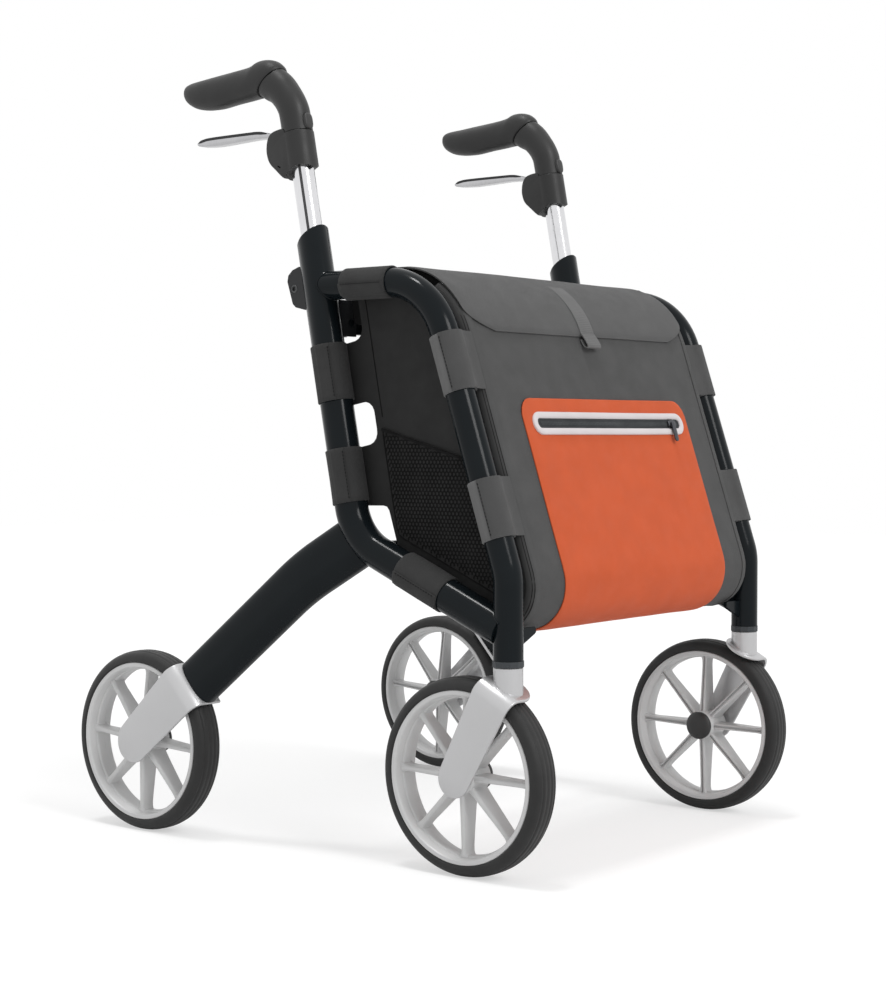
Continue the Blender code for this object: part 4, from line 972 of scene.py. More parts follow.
@dataclass(frozen=True)
class SideFrame(OneSide):
    """The welded tubes and the rear leg of one side.

    Attributes:
        bore: The upright's inner radius.
        bore_floor: The height where the upright's bore ends.
        stem_bore: The radius of the front tube's bore for the caster's stem.
        stem_bore_deep: How deep that bore is.
        gusset: The outline of the plate at the front tube's foot, as (x, z).
        gusset_thick: That plate's thickness.
        weld: The thickness of a weld bead.
        leg_width: The leg's width.
        leg_height: The leg's height in its own section.
    """

    bore: float = 0.0139
    bore_floor: float = 0.440
    stem_bore: float = 0.0087
    stem_bore_deep: float = 0.057
    gusset: Table = (
        (0.219, 0.2272), (0.1865, 0.2420), (0.1845, 0.2436), (0.1845, 0.2476), (0.186, 0.249), (0.219, 0.249),
    )
    gusset_thick: float = 0.004
    weld: float = 0.0011
    leg_width: float = 0.028
    leg_height: float = 0.057

    def saddle(self, ring: Line, radius: float) -> Line:
        """Returns a ring of the top tube, moved along Y onto the upright's face of that radius."""
        moved = []
        for point in ring:
            across = point.x - self.x
            depth = -math.sqrt(max(0.0, radius**2 - across**2))
            base = LINES.on_upright(point.z)
            moved.append(Vector((point.x, base.x + depth / LINES.behind.x, point.z)))
        return moved

    def upright(self) -> None:
        """Builds the upright, open at its slanted mouth, and the lower tube that it bends into."""
        path, up, slant = LINES.upright_path(self.x), at_side(LINES.up), at_side(heading(52))
        top, radius = path[0], LINES.upright_radius
        points = [at_side(LINES.on_upright(self.bore_floor), self.x), top - up * 0.02, top, top, top]
        rings = []
        for point, size in zip(points, (self.bore, self.bore, self.bore, radius - 0.0011, radius)):
            rings.append([point + X_AXIS * across - up.cross(X_AXIS) * rise for across, rise in circle(size)])
        for index, lift in ((2, 0.0), (3, 0.0009), (4, 0.0)):
            level = points[index] + slant * lift
            rings[index] = [at + up * (level - at).dot(slant) / up.dot(slant) for at in rings[index]]
        rings[4] = [at - up * 0.0009 for at in rings[4]]
        form = Form().skin(rings + rod(path, radius).rows()[1:])
        foot = rod([Vector((self.x, LINES.stem_y, z)) for z in (0.20, 0.32)], LINES.front_radius + 0.0002, 48)
        self.piece("upright", form, PAINT, "frame_paint", "upright_tube", sharp=50, cuts=[foot])

    def front_tube(self) -> None:
        """Builds the top and front tube with its gusset, open at its foot for the caster's stem."""
        rings = rod(LINES.front_path(self.x), LINES.front_radius).rows()
        rings[0] = self.saddle(rings[0], LINES.upright_radius - 0.0004)
        middle, share = Vector((self.x, LINES.stem_y, LINES.front_end_z)), self.stem_bore / LINES.front_radius
        bore = [middle + (point - middle) * share for point in rings[-1]]
        form = Form().skin([*rings, bore, [point + Z_AXIS * self.stem_bore_deep for point in bore]])
        faces = [
            [Vector((self.side.value * x, LINES.stem_y + end, z)) for x, z in self.gusset]
            for end in (-self.gusset_thick / 2, self.gusset_thick / 2)
        ]
        self.piece("front_tube", form, PAINT, "frame_paint", "front_tube", sharp=50, joins=[Form().skin(faces)])

    def welds(self) -> None:
        """Builds the weld beads where the tubes meet."""
        ring = rod(LINES.front_path(self.x), LINES.front_radius).rows()[0]
        top = bead(self.saddle(ring, LINES.upright_radius), self.weld)
        foot = []
        for level, rise in arc(-88, 88, 24):
            across, depth = LINES.front_radius * rise, LINES.stem_y + LINES.front_radius * level
            base = LINES.on_lower_tube(depth)
            rise = math.sqrt(max(0.0, LINES.upright_radius**2 - across**2)) / LINES.up.y
            foot.append(Vector((self.x + across, depth, base.y + rise * 1.07)))
        self.piece("welds", top.add(bead(foot, self.weld, loop=False)), PAINT, "frame_paint")

    def leg_path(self) -> Line:
        """Returns the centre line of the rear leg, which spreads out to the rear wheel's track."""
        joint = LINES.upright_foot - Vector((0, 0.004))
        end = LINES.rear_axle - LINES.leg_along * 0.1058
        bend = LINES.rear_axle - LINES.leg_along * 0.2857
        start = joint - (bend - joint).normalized() * 0.0055
        spread = (LINES.rear_wheel_x - LINES.frame_x) / (end.x - start.x)
        sign = self.side.value
        corners = [at_side(p, sign * (LINES.frame_x + (p.x - start.x) * spread)) for p in (start, bend, end)]
        return rounded(corners, [0.3], steps=14)

    def shoe_place(self, foot: float, top: float, grow: float) -> Form:
        """Returns the brake shoe's block between two distances from the axle, grown on its sides."""
        across, along = at_side(heading(48.7)), at_side(-LINES.leg_along)
        centre = at_side(LINES.rear_axle, self.side.value * LINES.rear_wheel_x)
        wide, long = (0.007 + grow) * X_AXIS, (0.011 + grow) * across
        corners = [wide + long, wide - long, -wide - long, long - wide]
        return Form().skin([[centre + along * reach + corner for corner in corners] for reach in (foot, top)])

    def rear_leg(self) -> None:
        """Builds the flat-oval leg with the lug for the lower arm."""
        path = self.leg_path()
        count = len(path) - 1
        heights = [self.leg_height - 0.002 * at / count for at in range(count + 1)]
        sections = [oval(self.leg_width / 2, height / 2, 2.7, 56) for height in heights]
        form = sweep(path, sections, cuts={count: at_side(LINES.leg_along)})
        sign, pivot_x, z = self.side.value, 0.195, 0.316
        y = -0.030 + (0.0103 if self.side is Side.LEFT else 0.0)
        lug = block((sign * (pivot_x - 0.0075), y - 0.0083, z - 0.0085), (sign * 0.2275, y + 0.0083, z + 0.0085))
        ends = (sign * (pivot_x - 0.017), sign * (pivot_x + 0.0091))
        slot = block((ends[0], y - 0.0053, z - 0.017), (ends[1], y + 0.0053, z + 0.017))
        pin = lathe([(-0.0086, 0.0043), (0.0083, 0.0043)], Vector((sign * pivot_x, y, z)), Y_AXIS, 24)
        upright = rod(LINES.upright_path(self.x), LINES.upright_radius + 0.0003)
        cuts = [upright, self.shoe_place(0.102, 0.1286, 0.0003), slot, pin]
        self.piece("rear_leg", form, PAINT, "frame_paint", "rear_leg", sharp=50, joins=[lug], cuts=cuts)
        # The screw's socket is a shallow recess painted near-black: painted shade of the hole.
        screw = at_side(Vector((0.1154, 0.1822)), sign * (0.2554 + self.leg_width / 2 + 0.0006))
        socket = [(-0.0016, 0.0001), (-0.0016, 0.0026), (0.0, 0.0034), (0.0006, 0.0034)]
        self.piece("leg_screw", lathe(socket, screw, X_AXIS * sign, 28), SHADOW_GAP, "frame_paint")

    def fork(self) -> None:
        """Builds the bent plate over the rear tyre, with the brake shoe's window."""
        sign = self.side.value
        widths, window = (0.0465, 0.0555), self.shoe_place(0.100, 0.126, 0.0003)
        strip = bent_plate(LINES.rear_axle, -LINES.leg_along, sign * 0.28725, widths, sign * 0.2478, False)
        self.piece("rear_fork", strip, BLADE_STEEL, "bright_steel", "rear_fork", cuts=[window])

    def shoe(self) -> None:
        """Builds the rubber brake shoe that slides in the leg's end."""
        block_form, body = self.shoe_place(0.1023, 0.1283, 0.0), f"brake_shoe_{self.side.tag}"
        self.piece("shoe", block_form, SHOE_RUBBER, "shoe_rubber", "brake_shoe", body=body, bevel=0.0012)

    def bracket_bolt(self) -> None:
        """Builds the socket bolt that clamps the fold bracket."""
        seat = [(-0.0058, 0.0046), (-0.0003, 0.0046), (0.0003, 0.0040), (0.0003, 0.0026), (-0.0022, 0.0024)]
        centre = Vector((self.side.value * 0.2303, 0.0206, 0.59435))
        self.piece("bracket_bolt", lathe(seat, centre, X_AXIS * self.side.value, 32), BOLT_NYLON, "dark_plastic")

    def build(self) -> None:
        """Builds the whole side frame."""
        steps = (self.upright, self.front_tube, self.welds, self.rear_leg, self.fork, self.shoe, self.bracket_bolt)
        for step in steps:
            step()


def bent_plate(
    axle: Vector, up: Vector, blade_x: float, widths: tuple[float, float], end_x: float, round_end: bool
) -> Form:
    """Returns a strip of 3.5 mm steel that stands beside a tyre and bends over it.

    Args:
        axle: The wheel's axle, in the side plane.
        up: The strip's direction from the axle.
        blade_x: The middle of the blade's thickness.
        widths: The width at the axle and at the bend.
        end_x: Where the plate over the tyre ends.
        round_end: Whether that end is round.

    Returns:
        The strip, with its edges rounded.
    """
    thick, bend = 0.0035, 0.013
    reach = LINES.tyre_radius + 0.002 + thick / 2
    foot, top = widths[0] / 2, widths[1] / 2
    out = math.copysign(1, blade_x)
    stations = []
    for level, rise in arc(-86, 0, 14):
        stations.append((Vector((blade_x, foot * rise)), Vector((out, 0)), foot * level))
    for step in range(1, 10):
        share = step / 9
        height = (reach - bend) * share
        stations.append((Vector((blade_x, height)), Vector((out, 0)), foot + (top - foot) * share))
    centre = Vector((blade_x - out * bend, reach - bend))
    for level, rise in arc(0, 90, 10)[1:]:
        normal = Vector((out * level, rise))
        stations.append((centre + normal * bend, normal, top))
    if round_end:
        for level, rise in arc(0, 86, 14):
            stations.append((Vector((end_x - out * top * rise, reach)), Vector((0, 1)), top * level))
    else:
        stations.append((Vector((end_x, reach)), Vector((0, 1)), top))
    across = Vector((0, -up.y, up.x))
    rings = []
    for place, normal, half in stations:
        ring = []
        for wide, deep in slab(half, thick / 2, 0.0012):
            flat = place + normal * deep
            ring.append(at_side(axle + up * flat.y, flat.x) + across * wide)
        rings.append(ring)
    return Form().skin(rings)


# ---- Wheels and casters ----


@dataclass(frozen=True)
class Wheel(OneSide):
    """A solid-tyred wheel on its rim with straight spokes.

    Attributes:
        end: Front or rear, as in the CAD's names.
        axle: Its axle, in the side plane.
        middle_x: The middle of its width.
        blade_inner_x: The inner face of the blade that holds it.
        carrier: The body that its axle belongs to.
        turned: How far its first spoke is turned from rearwards, towards up.
        spokes: How many spokes it has.
        spoke_wide: How wide a spoke is, seen from the side.
        seat: The radius where the tyre sits.
        band_inner: The radius inside the middle of the rim's band.
    """

    end: str
    axle: Vector
    middle_x: float
    blade_inner_x: float
    carrier: str
    turned: float
    spokes: int = 8
    spoke_wide: float = 0.0064
    seat: float = 0.0869
    band_inner: float = 0.0788

    @property
    def body(self) -> str:
        """The CAD body that the tyre and the rim ride on."""
        return f"{self.end}_wheel_{self.side.tag}"

    @property
    def centre(self) -> Vector:
        """The wheel's centre."""
        return at_side(self.axle, self.side.value * self.middle_x)

    @property
    def outwards(self) -> Vector:
        """The direction of the blade's side."""
        return X_AXIS * self.side.value

    def tyre(self) -> None:
        """Builds the tyre: a square-shouldered round with four thin grooves round its tread."""
        half, bead_radius, crown = 0.017, self.seat + 0.0003, 0.100
        grooved = []
        for level, rise in arc(0, 180, 64):
            across = -half * math.copysign(abs(level) ** 0.7, level)
            height = bead_radius + 0.001 + (crown - bead_radius - 0.001) * abs(rise) ** 0.7
            near = min(abs(abs(across) - place) for place in (0.0032, 0.0092))
            grooved.append((across, height - 0.0008 * max(0.0, 1 - (near / 0.0014) ** 2)))
        profile = [(-half + 0.001, bead_radius), *grooved, (half - 0.001, bead_radius)]
        form = lathe(profile, self.centre, self.outwards, 120, ring=True)
        self.piece(f"{self.end}_tyre", form, TREAD, "tyre_rubber", f"{self.end}_tyre", sharp=60)

    def spoke(self, index: int) -> Form:
        """Returns one spoke: a fin that is shallower at the rim, with a groove in its inner face."""
        out = at_side(heading(360 * index / self.spokes + self.turned))
        across = X_AXIS.cross(out)
        inner_way = -self.outwards
        rings = []
        stations = (
            (0.0125, 0.0252, 1.2), (0.018, 0.0240, 1.05), (0.030, 0.0218, 0.97), (0.050, 0.0190, 0.92),
            (0.0695, 0.0166, 0.88), (0.0755, 0.0162, 1.0), (0.0785, 0.0164, 1.3), (0.0805, 0.0172, 1.7),
        )
        for reach, deep, wide in stations:
            half, edge, middle = self.spoke_wide / 2 * wide, 0.0008, self.centre + out * reach
            top, floor = deep / 2, -deep / 2
            section = [(-half * level, floor + 0.0030 * (1 - rise)) for level, rise in arc(0, 180, 6)] + [
                (half, top - edge), (half - edge, top), (0.0013, top), (0.0011, top - 0.0030),
                (-0.0011, top - 0.0030), (-0.0013, top), (-half + edge, top), (-half, top - edge),
            ]
            rings.append([middle + across * a + inner_way * b for a, b in section])
        return Form().skin(rings)

    def rim(self) -> None:
        """Builds the rim's band, its spokes and its hub as one moulding."""
        half, seat, inner = 0.0165, self.seat, self.band_inner
        lip = [
            (0.0042, inner), (0.0052, inner + 0.0004), (0.0060, inner + 0.0016), (half - 0.0024, inner + 0.0024),
            (half - 0.0008, inner + 0.0030), (half, inner + 0.0040), (half, seat - 0.0006), (half - 0.0006, seat),
        ]
        band = [(-across, radius) for across, radius in reversed(lip)] + lip
        edge = [(0.0150, 0.0165), (0.0165, 0.0155), (0.0165, 0.0052)]
        hub = [(-across, radius) for across, radius in reversed(edge)] + edge
        form = lathe(band, self.centre, self.outwards, 96, ring=True)
        joins = [lathe(hub, self.centre, self.outwards, 56, ring=True), *map(self.spoke, range(self.spokes))]
        bore = lathe([(-0.02, 0.0052), (0.02, 0.0052)], self.centre, self.outwards, 32)
        name = f"{self.end}_rim"
        self.piece(name, form, RIM_NYLON, "rim_plastic", name, sharp=36, joins=joins, cuts=[bore])

    def axle_and_cap(self) -> None:
        """Builds the axle with its spacer, and the domed cap on its inner end."""
        name, outer = f"{self.end}_axle", self.blade_inner_x - self.middle_x
        bar = [(-0.0190, 0.0045), (0.0168, 0.0045), (0.0168, 0.0088), (0.0176, 0.0092), (outer - 0.0003, 0.0092)]
        axle = lathe(bar, self.centre, self.outwards, 40)
        self.piece(name, axle, ZINC, "cap_plastic", name, body=self.carrier)
        dome = [(-0.0168, 0.0046), (-0.0168, 0.0158), (-0.0192, 0.0160)]
        dome += [(-0.0192 - 0.0046 * rise, 0.0012 + 0.0148 * level) for level, rise in arc(0, 88, 8)[1:]]
        cap = lathe(dome, self.centre, self.outwards, 56)
        self.piece(f"{self.end}_hub_cap", cap, CAP_NYLON, "cap_plastic", body=self.carrier)

    def build(self) -> None:
        """Builds the whole wheel."""
        for step in (self.tyre, self.rim, self.axle_and_cap):
            step()


@dataclass(frozen=True)
class Caster(OneSide):
    """The turning front fork of one side, with its wheel.

    Attributes:
        sleeve: The radius of the sleeve over the stem.
        sleeve_top: The height of the sleeve's top.
    """

    sleeve: float = 0.0148
    sleeve_top: float = 0.2125

    @property
    def body(self) -> str:
        """The CAD body that turns with the fork."""
        return f"caster_{self.side.tag}"

    def build(self) -> None:
        """Builds the fork with its sleeve, and the wheel."""
        x, up = self.x, LINES.fork_up
        strip = bent_plate(LINES.front_axle, up, self.side.value * 0.25125, (0.0385, 0.0455), x, True)
        plate = LINES.front_axle + up * (LINES.tyre_radius + 0.00375)
        seat = crossing(plate, Vector((-up.y, up.x)), Vector((LINES.stem_y, 0)), Vector((0, 1)))
        foot, top = (at_side(point, x) for point in (seat, Vector((LINES.stem_y, self.sleeve_top))))
        radii = [self.sleeve, self.sleeve, self.sleeve - 0.0008]
        path = [foot, top - Z_AXIS * 0.0008, top]
        sleeve = sweep(path, [circle(radius, 48) for radius in radii], cuts={0: at_side(up)}, alongs={0: Z_AXIS})
        bore = rod([foot - Z_AXIS * 0.02, top + Z_AXIS * 0.02], 0.0083, 32)
        self.piece("caster_fork", strip, BLADE_STEEL, "bright_steel", "caster_fork", joins=[sleeve], cuts=[bore])
        Wheel(self.side, "front", LINES.front_axle, LINES.frame_x, 0.2495, self.body, 0.7).build()


# ---- Handles ----


@dataclass(frozen=True)
class Handle(OneSide):
    """One sliding handle: its tube, brake housing, neck, grip, lever and height button.

    Attributes:
        ladder: The grip's top and bottom points (y, z, y, z) and half width, from the neck to the tip.
        neck: The neck's centre line after its straight foot.
        cheek: The outline of the brake housing's cheeks.
        arch: The curve of the housing's foot.
        tube: The telescopic tube's radius.
        pivot: The lever's axis, in the side plane.
        button_z: The height of the button on the neck.
        button_power: How square the button and its window are.
    """

    ladder: Table = (
        (0.0392, 0.8290, 0.0678, 0.8020, 0.0166), (0.0400, 0.8312, 0.0684, 0.8010, 0.0174),
        (0.0425, 0.8340, 0.0692, 0.8008, 0.0178), (0.0485, 0.8378, 0.0708, 0.8006, 0.0181),
        (0.0576, 0.8399, 0.0742, 0.8003, 0.0181), (0.0675, 0.8396, 0.0800, 0.7997, 0.0177),
        (0.0755, 0.8366, 0.0860, 0.7991, 0.0171), (0.0850, 0.8347, 0.0930, 0.7985, 0.0166),
        (0.1047, 0.8330, 0.1060, 0.7974, 0.0162), (0.1268, 0.8312, 0.1268, 0.7951, 0.0162),
        (0.1400, 0.8301, 0.1400, 0.7950, 0.0160), (0.1535, 0.8289, 0.1515, 0.7957, 0.0156),
        (0.1648, 0.8279, 0.1638, 0.7980, 0.0146), (0.1728, 0.8268, 0.1726, 0.8018, 0.0130),
        (0.1780, 0.8252, 0.1775, 0.8055, 0.0108), (0.1805, 0.8225, 0.1800, 0.8092, 0.0075),
        (0.1817, 0.8180, 0.1813, 0.8130, 0.0035),
    )
    neck: Table = (
        (0.0209, 0.7780), (0.02265, 0.7836), (0.02698, 0.7916),
        (0.0330, 0.7995), (0.0408, 0.8074), (0.0525, 0.8146),
    )
    cheek: Table = (
        (0.0150, 0.7600), (0.0200, 0.7622), (0.0300, 0.7622), (0.0420, 0.7590), (0.0470, 0.7520),
        (0.0485, 0.7430), (0.0478, 0.7360), (0.0440, 0.7270), (0.0345, 0.7185), (0.0245, 0.7105),
        (0.0180, 0.7085), (0.0110, 0.7100), (0.0088, 0.7200), (0.0105, 0.7320), (0.0125, 0.7450),
    )
    arch: Table = (
        (-0.0125, 0.7120), (-0.0097, 0.7168), (-0.0070, 0.7221), (-0.0029, 0.7234), (0.0053, 0.7221),
        (0.0135, 0.7177), (0.0211, 0.7113), (0.0260, 0.7085),
    )
    tube: float = 0.012
    pivot: Vector = Vector((0.0371, 0.7405))
    button_z: float = 0.7668
    button_power: float = 2.8

    @property
    def body(self) -> str:
        """The CAD body that slides with this handle."""
        return f"handle_{self.side.tag}"

    def post(self, *heights: float) -> Line:
        """Returns points of the upright's axis at heights."""
        return [at_side(LINES.on_upright(z), self.x) for z in heights]

    def telescope(self) -> None:
        """Builds the plated inner tube, with the groove that keeps it from turning."""
        path, turn = self.post(0.500, 0.784), math.radians(25)
        ahead = self.side.value * X_AXIS * math.cos(turn) - at_side(LINES.behind) * math.sin(turn)
        beside = at_side(LINES.up).cross(ahead) * 0.0015

        def bar(ends: Line, wide: Vector, depths: tuple[float, float]) -> Form:
            """Returns a square bar along the tube's face between two depths."""
            rings = []
            for point in ends:
                floor, proud = (point + ahead * (self.tube + depth) for depth in depths)
                rings.append([floor - wide, floor + wide, proud + wide, proud - wide])
            return Form().skin(rings)

        groove = bar([path[0] - at_side(LINES.up) * 0.004, *self.post(0.76)], beside, (-0.0016, 0.002))
        tube = rod(path, self.tube, 56)
        self.piece("telescopic_tube", tube, CHROME, "bright_steel", "telescopic_tube", cuts=[groove])
        # A dark grey strip on the groove's floor: painted shade of the groove.
        self.piece("groove_floor", bar(self.post(0.503, 0.757), beside * 0.9, (-0.0015, -0.0010)), GROOVE_SHADE)

    def neck_and_grip(self) -> None:
        """Builds the curved neck and the hand grip with its oblique collar."""
        straight = [LINES.on_upright(z) for z in (0.7587, 0.7595, 0.7640, 0.7690)]
        line = [at_side(p, self.x) for p in flowing([*straight, *self.neck], 3)]
        count = len(line) - 1
        sections = []
        for index in range(count + 1):
            grow = max(0.0, (index - count + 9) / 9)
            foot = 0.0006 if index == 0 else 0.0
            sections.append(oval(0.0165 - foot + 0.0002 * grow, 0.0165 - foot + 0.0027 * grow**2, 2.0))
        form = sweep(line, sections, alongs={count: at_side(heading(47))})
        ahead, face = -at_side(LINES.behind), self.post(self.button_z)[0]
        window = sweep([face + ahead * 0.0125, face + ahead * 0.03], oval(0.0063, 0.0090, self.button_power, 40))
        self.piece("neck", form, GRIP_RUBBER, "dark_plastic", "handle_neck", cuts=[window])
        rings = []
        for top_y, top_z, low_y, low_z, half in flowing(self.ladder, 4):
            top, low = at_side(Vector((top_y, top_z)), self.x), at_side(Vector((low_y, low_z)), self.x)
            middle, up = (top + low) / 2, (top - low) / 2
            flat = clamped((middle.y - 0.085) / 0.02) * clamped((0.172 - middle.y) / 0.02)
            ring = []
            for across, rise in oval(1.0, 1.0, 2.15, 56):
                inner = max(0.0, -across * self.side.value) * max(0.0, rise)
                ring.append(middle + X_AXIS * across * half + up * rise * (1 - 0.16 * inner * flat))
            rings.append(ring)
        self.piece("grip", Form().skin(rings), GRIP_RUBBER, "grip_rubber", "hand_grip")

    def housing(self) -> None:
        """Builds the brake housing: a sleeve on the tube and two cheeks that hold the lever."""
        path = self.post(0.7080, 0.7090, 0.7575, 0.7583)
        sleeve = sweep(path, [circle(radius, 48) for radius in (0.0172, 0.0172, 0.0172, 0.0164)])
        outline = [Vector(point) for point in flowing([*self.cheek, self.cheek[0]], 3)[:-1]]
        widths = ((-0.0165, 0.0026), (-0.0160, 0.0012), (-0.0148, 0.0003), (-0.0125, 0.0))
        middle, rows = Vector((0.029, 0.738)), []
        for across, inset in (*widths, *[(-a, i) for a, i in widths[::-1]]):
            shrunk = [middle + (p - middle) * (1 - inset / (p - middle).length) for p in outline]
            rows.append([at_side(p, self.x + across) for p in shrunk])
        foot = [Vector(point) for point in ((-0.02, 0.69), *flowing(self.arch, 2), (0.045, 0.69))]
        arch = side_prism(foot, self.x - 0.03, self.x + 0.03)
        slot = block((self.x - 0.0074, 0.0283, 0.7315), (self.x + 0.0074, 0.075, 0.79))
        work = {"joins": [Form().skin(rows)], "cuts": [arch, slot, rod(self.post(0.7584, 0.7700), 0.0171, 48)]}
        self.piece("housing", sleeve, GRIP_RUBBER, "dark_plastic", "brake_housing", sharp=32, **work)
        # A thin near-black mark on the cheek: painted shade of the slot in the housing's side.
        along = at_side(heading(27.0)) * 0.0026
        place = at_side(Vector((0.0287, 0.7222)), self.x + self.side.value * 0.0160)
        sections = [slab(0.0005, half, half * 0.9) for half in (0.0004, 0.0012, 0.0012, 0.0004)]
        mark = sweep([place - along * share for share in (-1, -0.7, 0.7, 1)], sections)
        self.piece("housing_slot", mark, SHADOW_GAP)
        # A near-black ring at the neck's foot: painted shade of the gap between the housing and the neck.
        self.piece("neck_gap", rod(self.post(0.7576, 0.7592), 0.0158, 48), SHADOW_GAP)

    def lever(self) -> None:
        """Builds the plated brake lever with the dark strip on its back."""
        body = f"brake_lever_{self.side.tag}"
        boss = [self.pivot + heading(turn) * 0.0085 for turn in range(120, 341, 20)]
        lower = (
            (0.0462, 0.7440), (0.0475, 0.7520), (0.0520, 0.7556), (0.0640, 0.7563), (0.0778, 0.7566),
            (0.1065, 0.7555), (0.1300, 0.7547), (0.1470, 0.7552), (0.1590, 0.7564),
        )
        upper = (
            (0.1606, 0.7586), (0.1598, 0.7605), (0.1520, 0.7624), (0.1380, 0.7635), (0.1210, 0.7635),
            (0.0860, 0.7636), (0.0697, 0.7634), (0.0576, 0.7622), (0.0470, 0.7592), (0.0380, 0.7530),
        )
        outline = boss + flowing([*lower, *upper], 3)
        edge = ((0.0052, 0.0), (0.0063, 0.0003), (0.0068, 0.0010))
        widths = [*[(-across, inset) for across, inset in edge[::-1]], *edge]
        middles = [Vector((point.x, 0.7594)) if point.x > 0.047 else self.pivot for point in outline]
        rows = []
        for across, inset in widths:
            rows.append([])
            for point, middle in zip(outline, middles):
                away = point - middle
                place = point - away.normalized() * min(inset, away.length * 0.5)
                rows[-1].append(at_side(place, self.x + across))
        pin = rod([Vector((self.x - 0.0120, *self.pivot)), Vector((self.x + 0.0120, *self.pivot))], 0.003, 24)
        work = {"body": body, "sharp": 40, "joins": [pin]}
        self.piece("brake_lever", Form().skin(rows), LEVER_STEEL, "bright_steel", "brake_lever", **work)
        course = (
            (0.0560, 0.7607), (0.0697, 0.7625), (0.0860, 0.7628),
            (0.1380, 0.7627), (0.1520, 0.7616), (0.1592, 0.7598),
        )
        strip = [at_side(point, self.x) for point in flowing(course, 6)]
        heights = [0.0017 * min(1.0, 0.35 + min(at, len(strip) - 1 - at) / 6) for at in range(len(strip))]
        inlay = sweep(strip, [slab(0.0071, height, 0.0008) for height in heights])
        self.piece("lever_strip", inlay, DARK_NYLON, body=body)

    def button(self) -> None:
        """Builds the height button, a soft shield that stands a little proud of the neck."""
        ahead, face = -at_side(LINES.behind), self.post(self.button_z)[0]
        rows = ((0.0147, 1.0), (0.0178, 1.0), (0.0186, 0.93), (0.0190, 0.8), (0.0192, 0.5))
        sections = [oval(0.0060 * size, 0.0087 * size, self.button_power, 40) for _, size in rows]
        form, body = sweep([face + ahead * reach for reach, _ in rows], sections), f"height_button_{self.side.tag}"
        self.piece("height_button", form, CAP_NYLON, "cap_plastic", "height_button", body=body)

    def build(self) -> None:
        """Builds the whole handle."""
        for step in (self.telescope, self.neck_and_grip, self.housing, self.lever, self.button):
            step()


# ---- Bag ----


def swell(point: Vector) -> float:
    """Returns how far the bag's soft front stands out of its flat line at a place, in metres."""
    edge = clamped((0.196 - abs(point.x)) / 0.06)
    slow = noise.noise(Vector((point.x * 9, point.y * 6, point.z * 9)))
    fine = noise.noise(Vector((point.x * 26, point.y * 20, point.z * 24)) + Vector((7, 3, 1)))
    return edge * (0.0009 * slow + 0.0003 * fine)


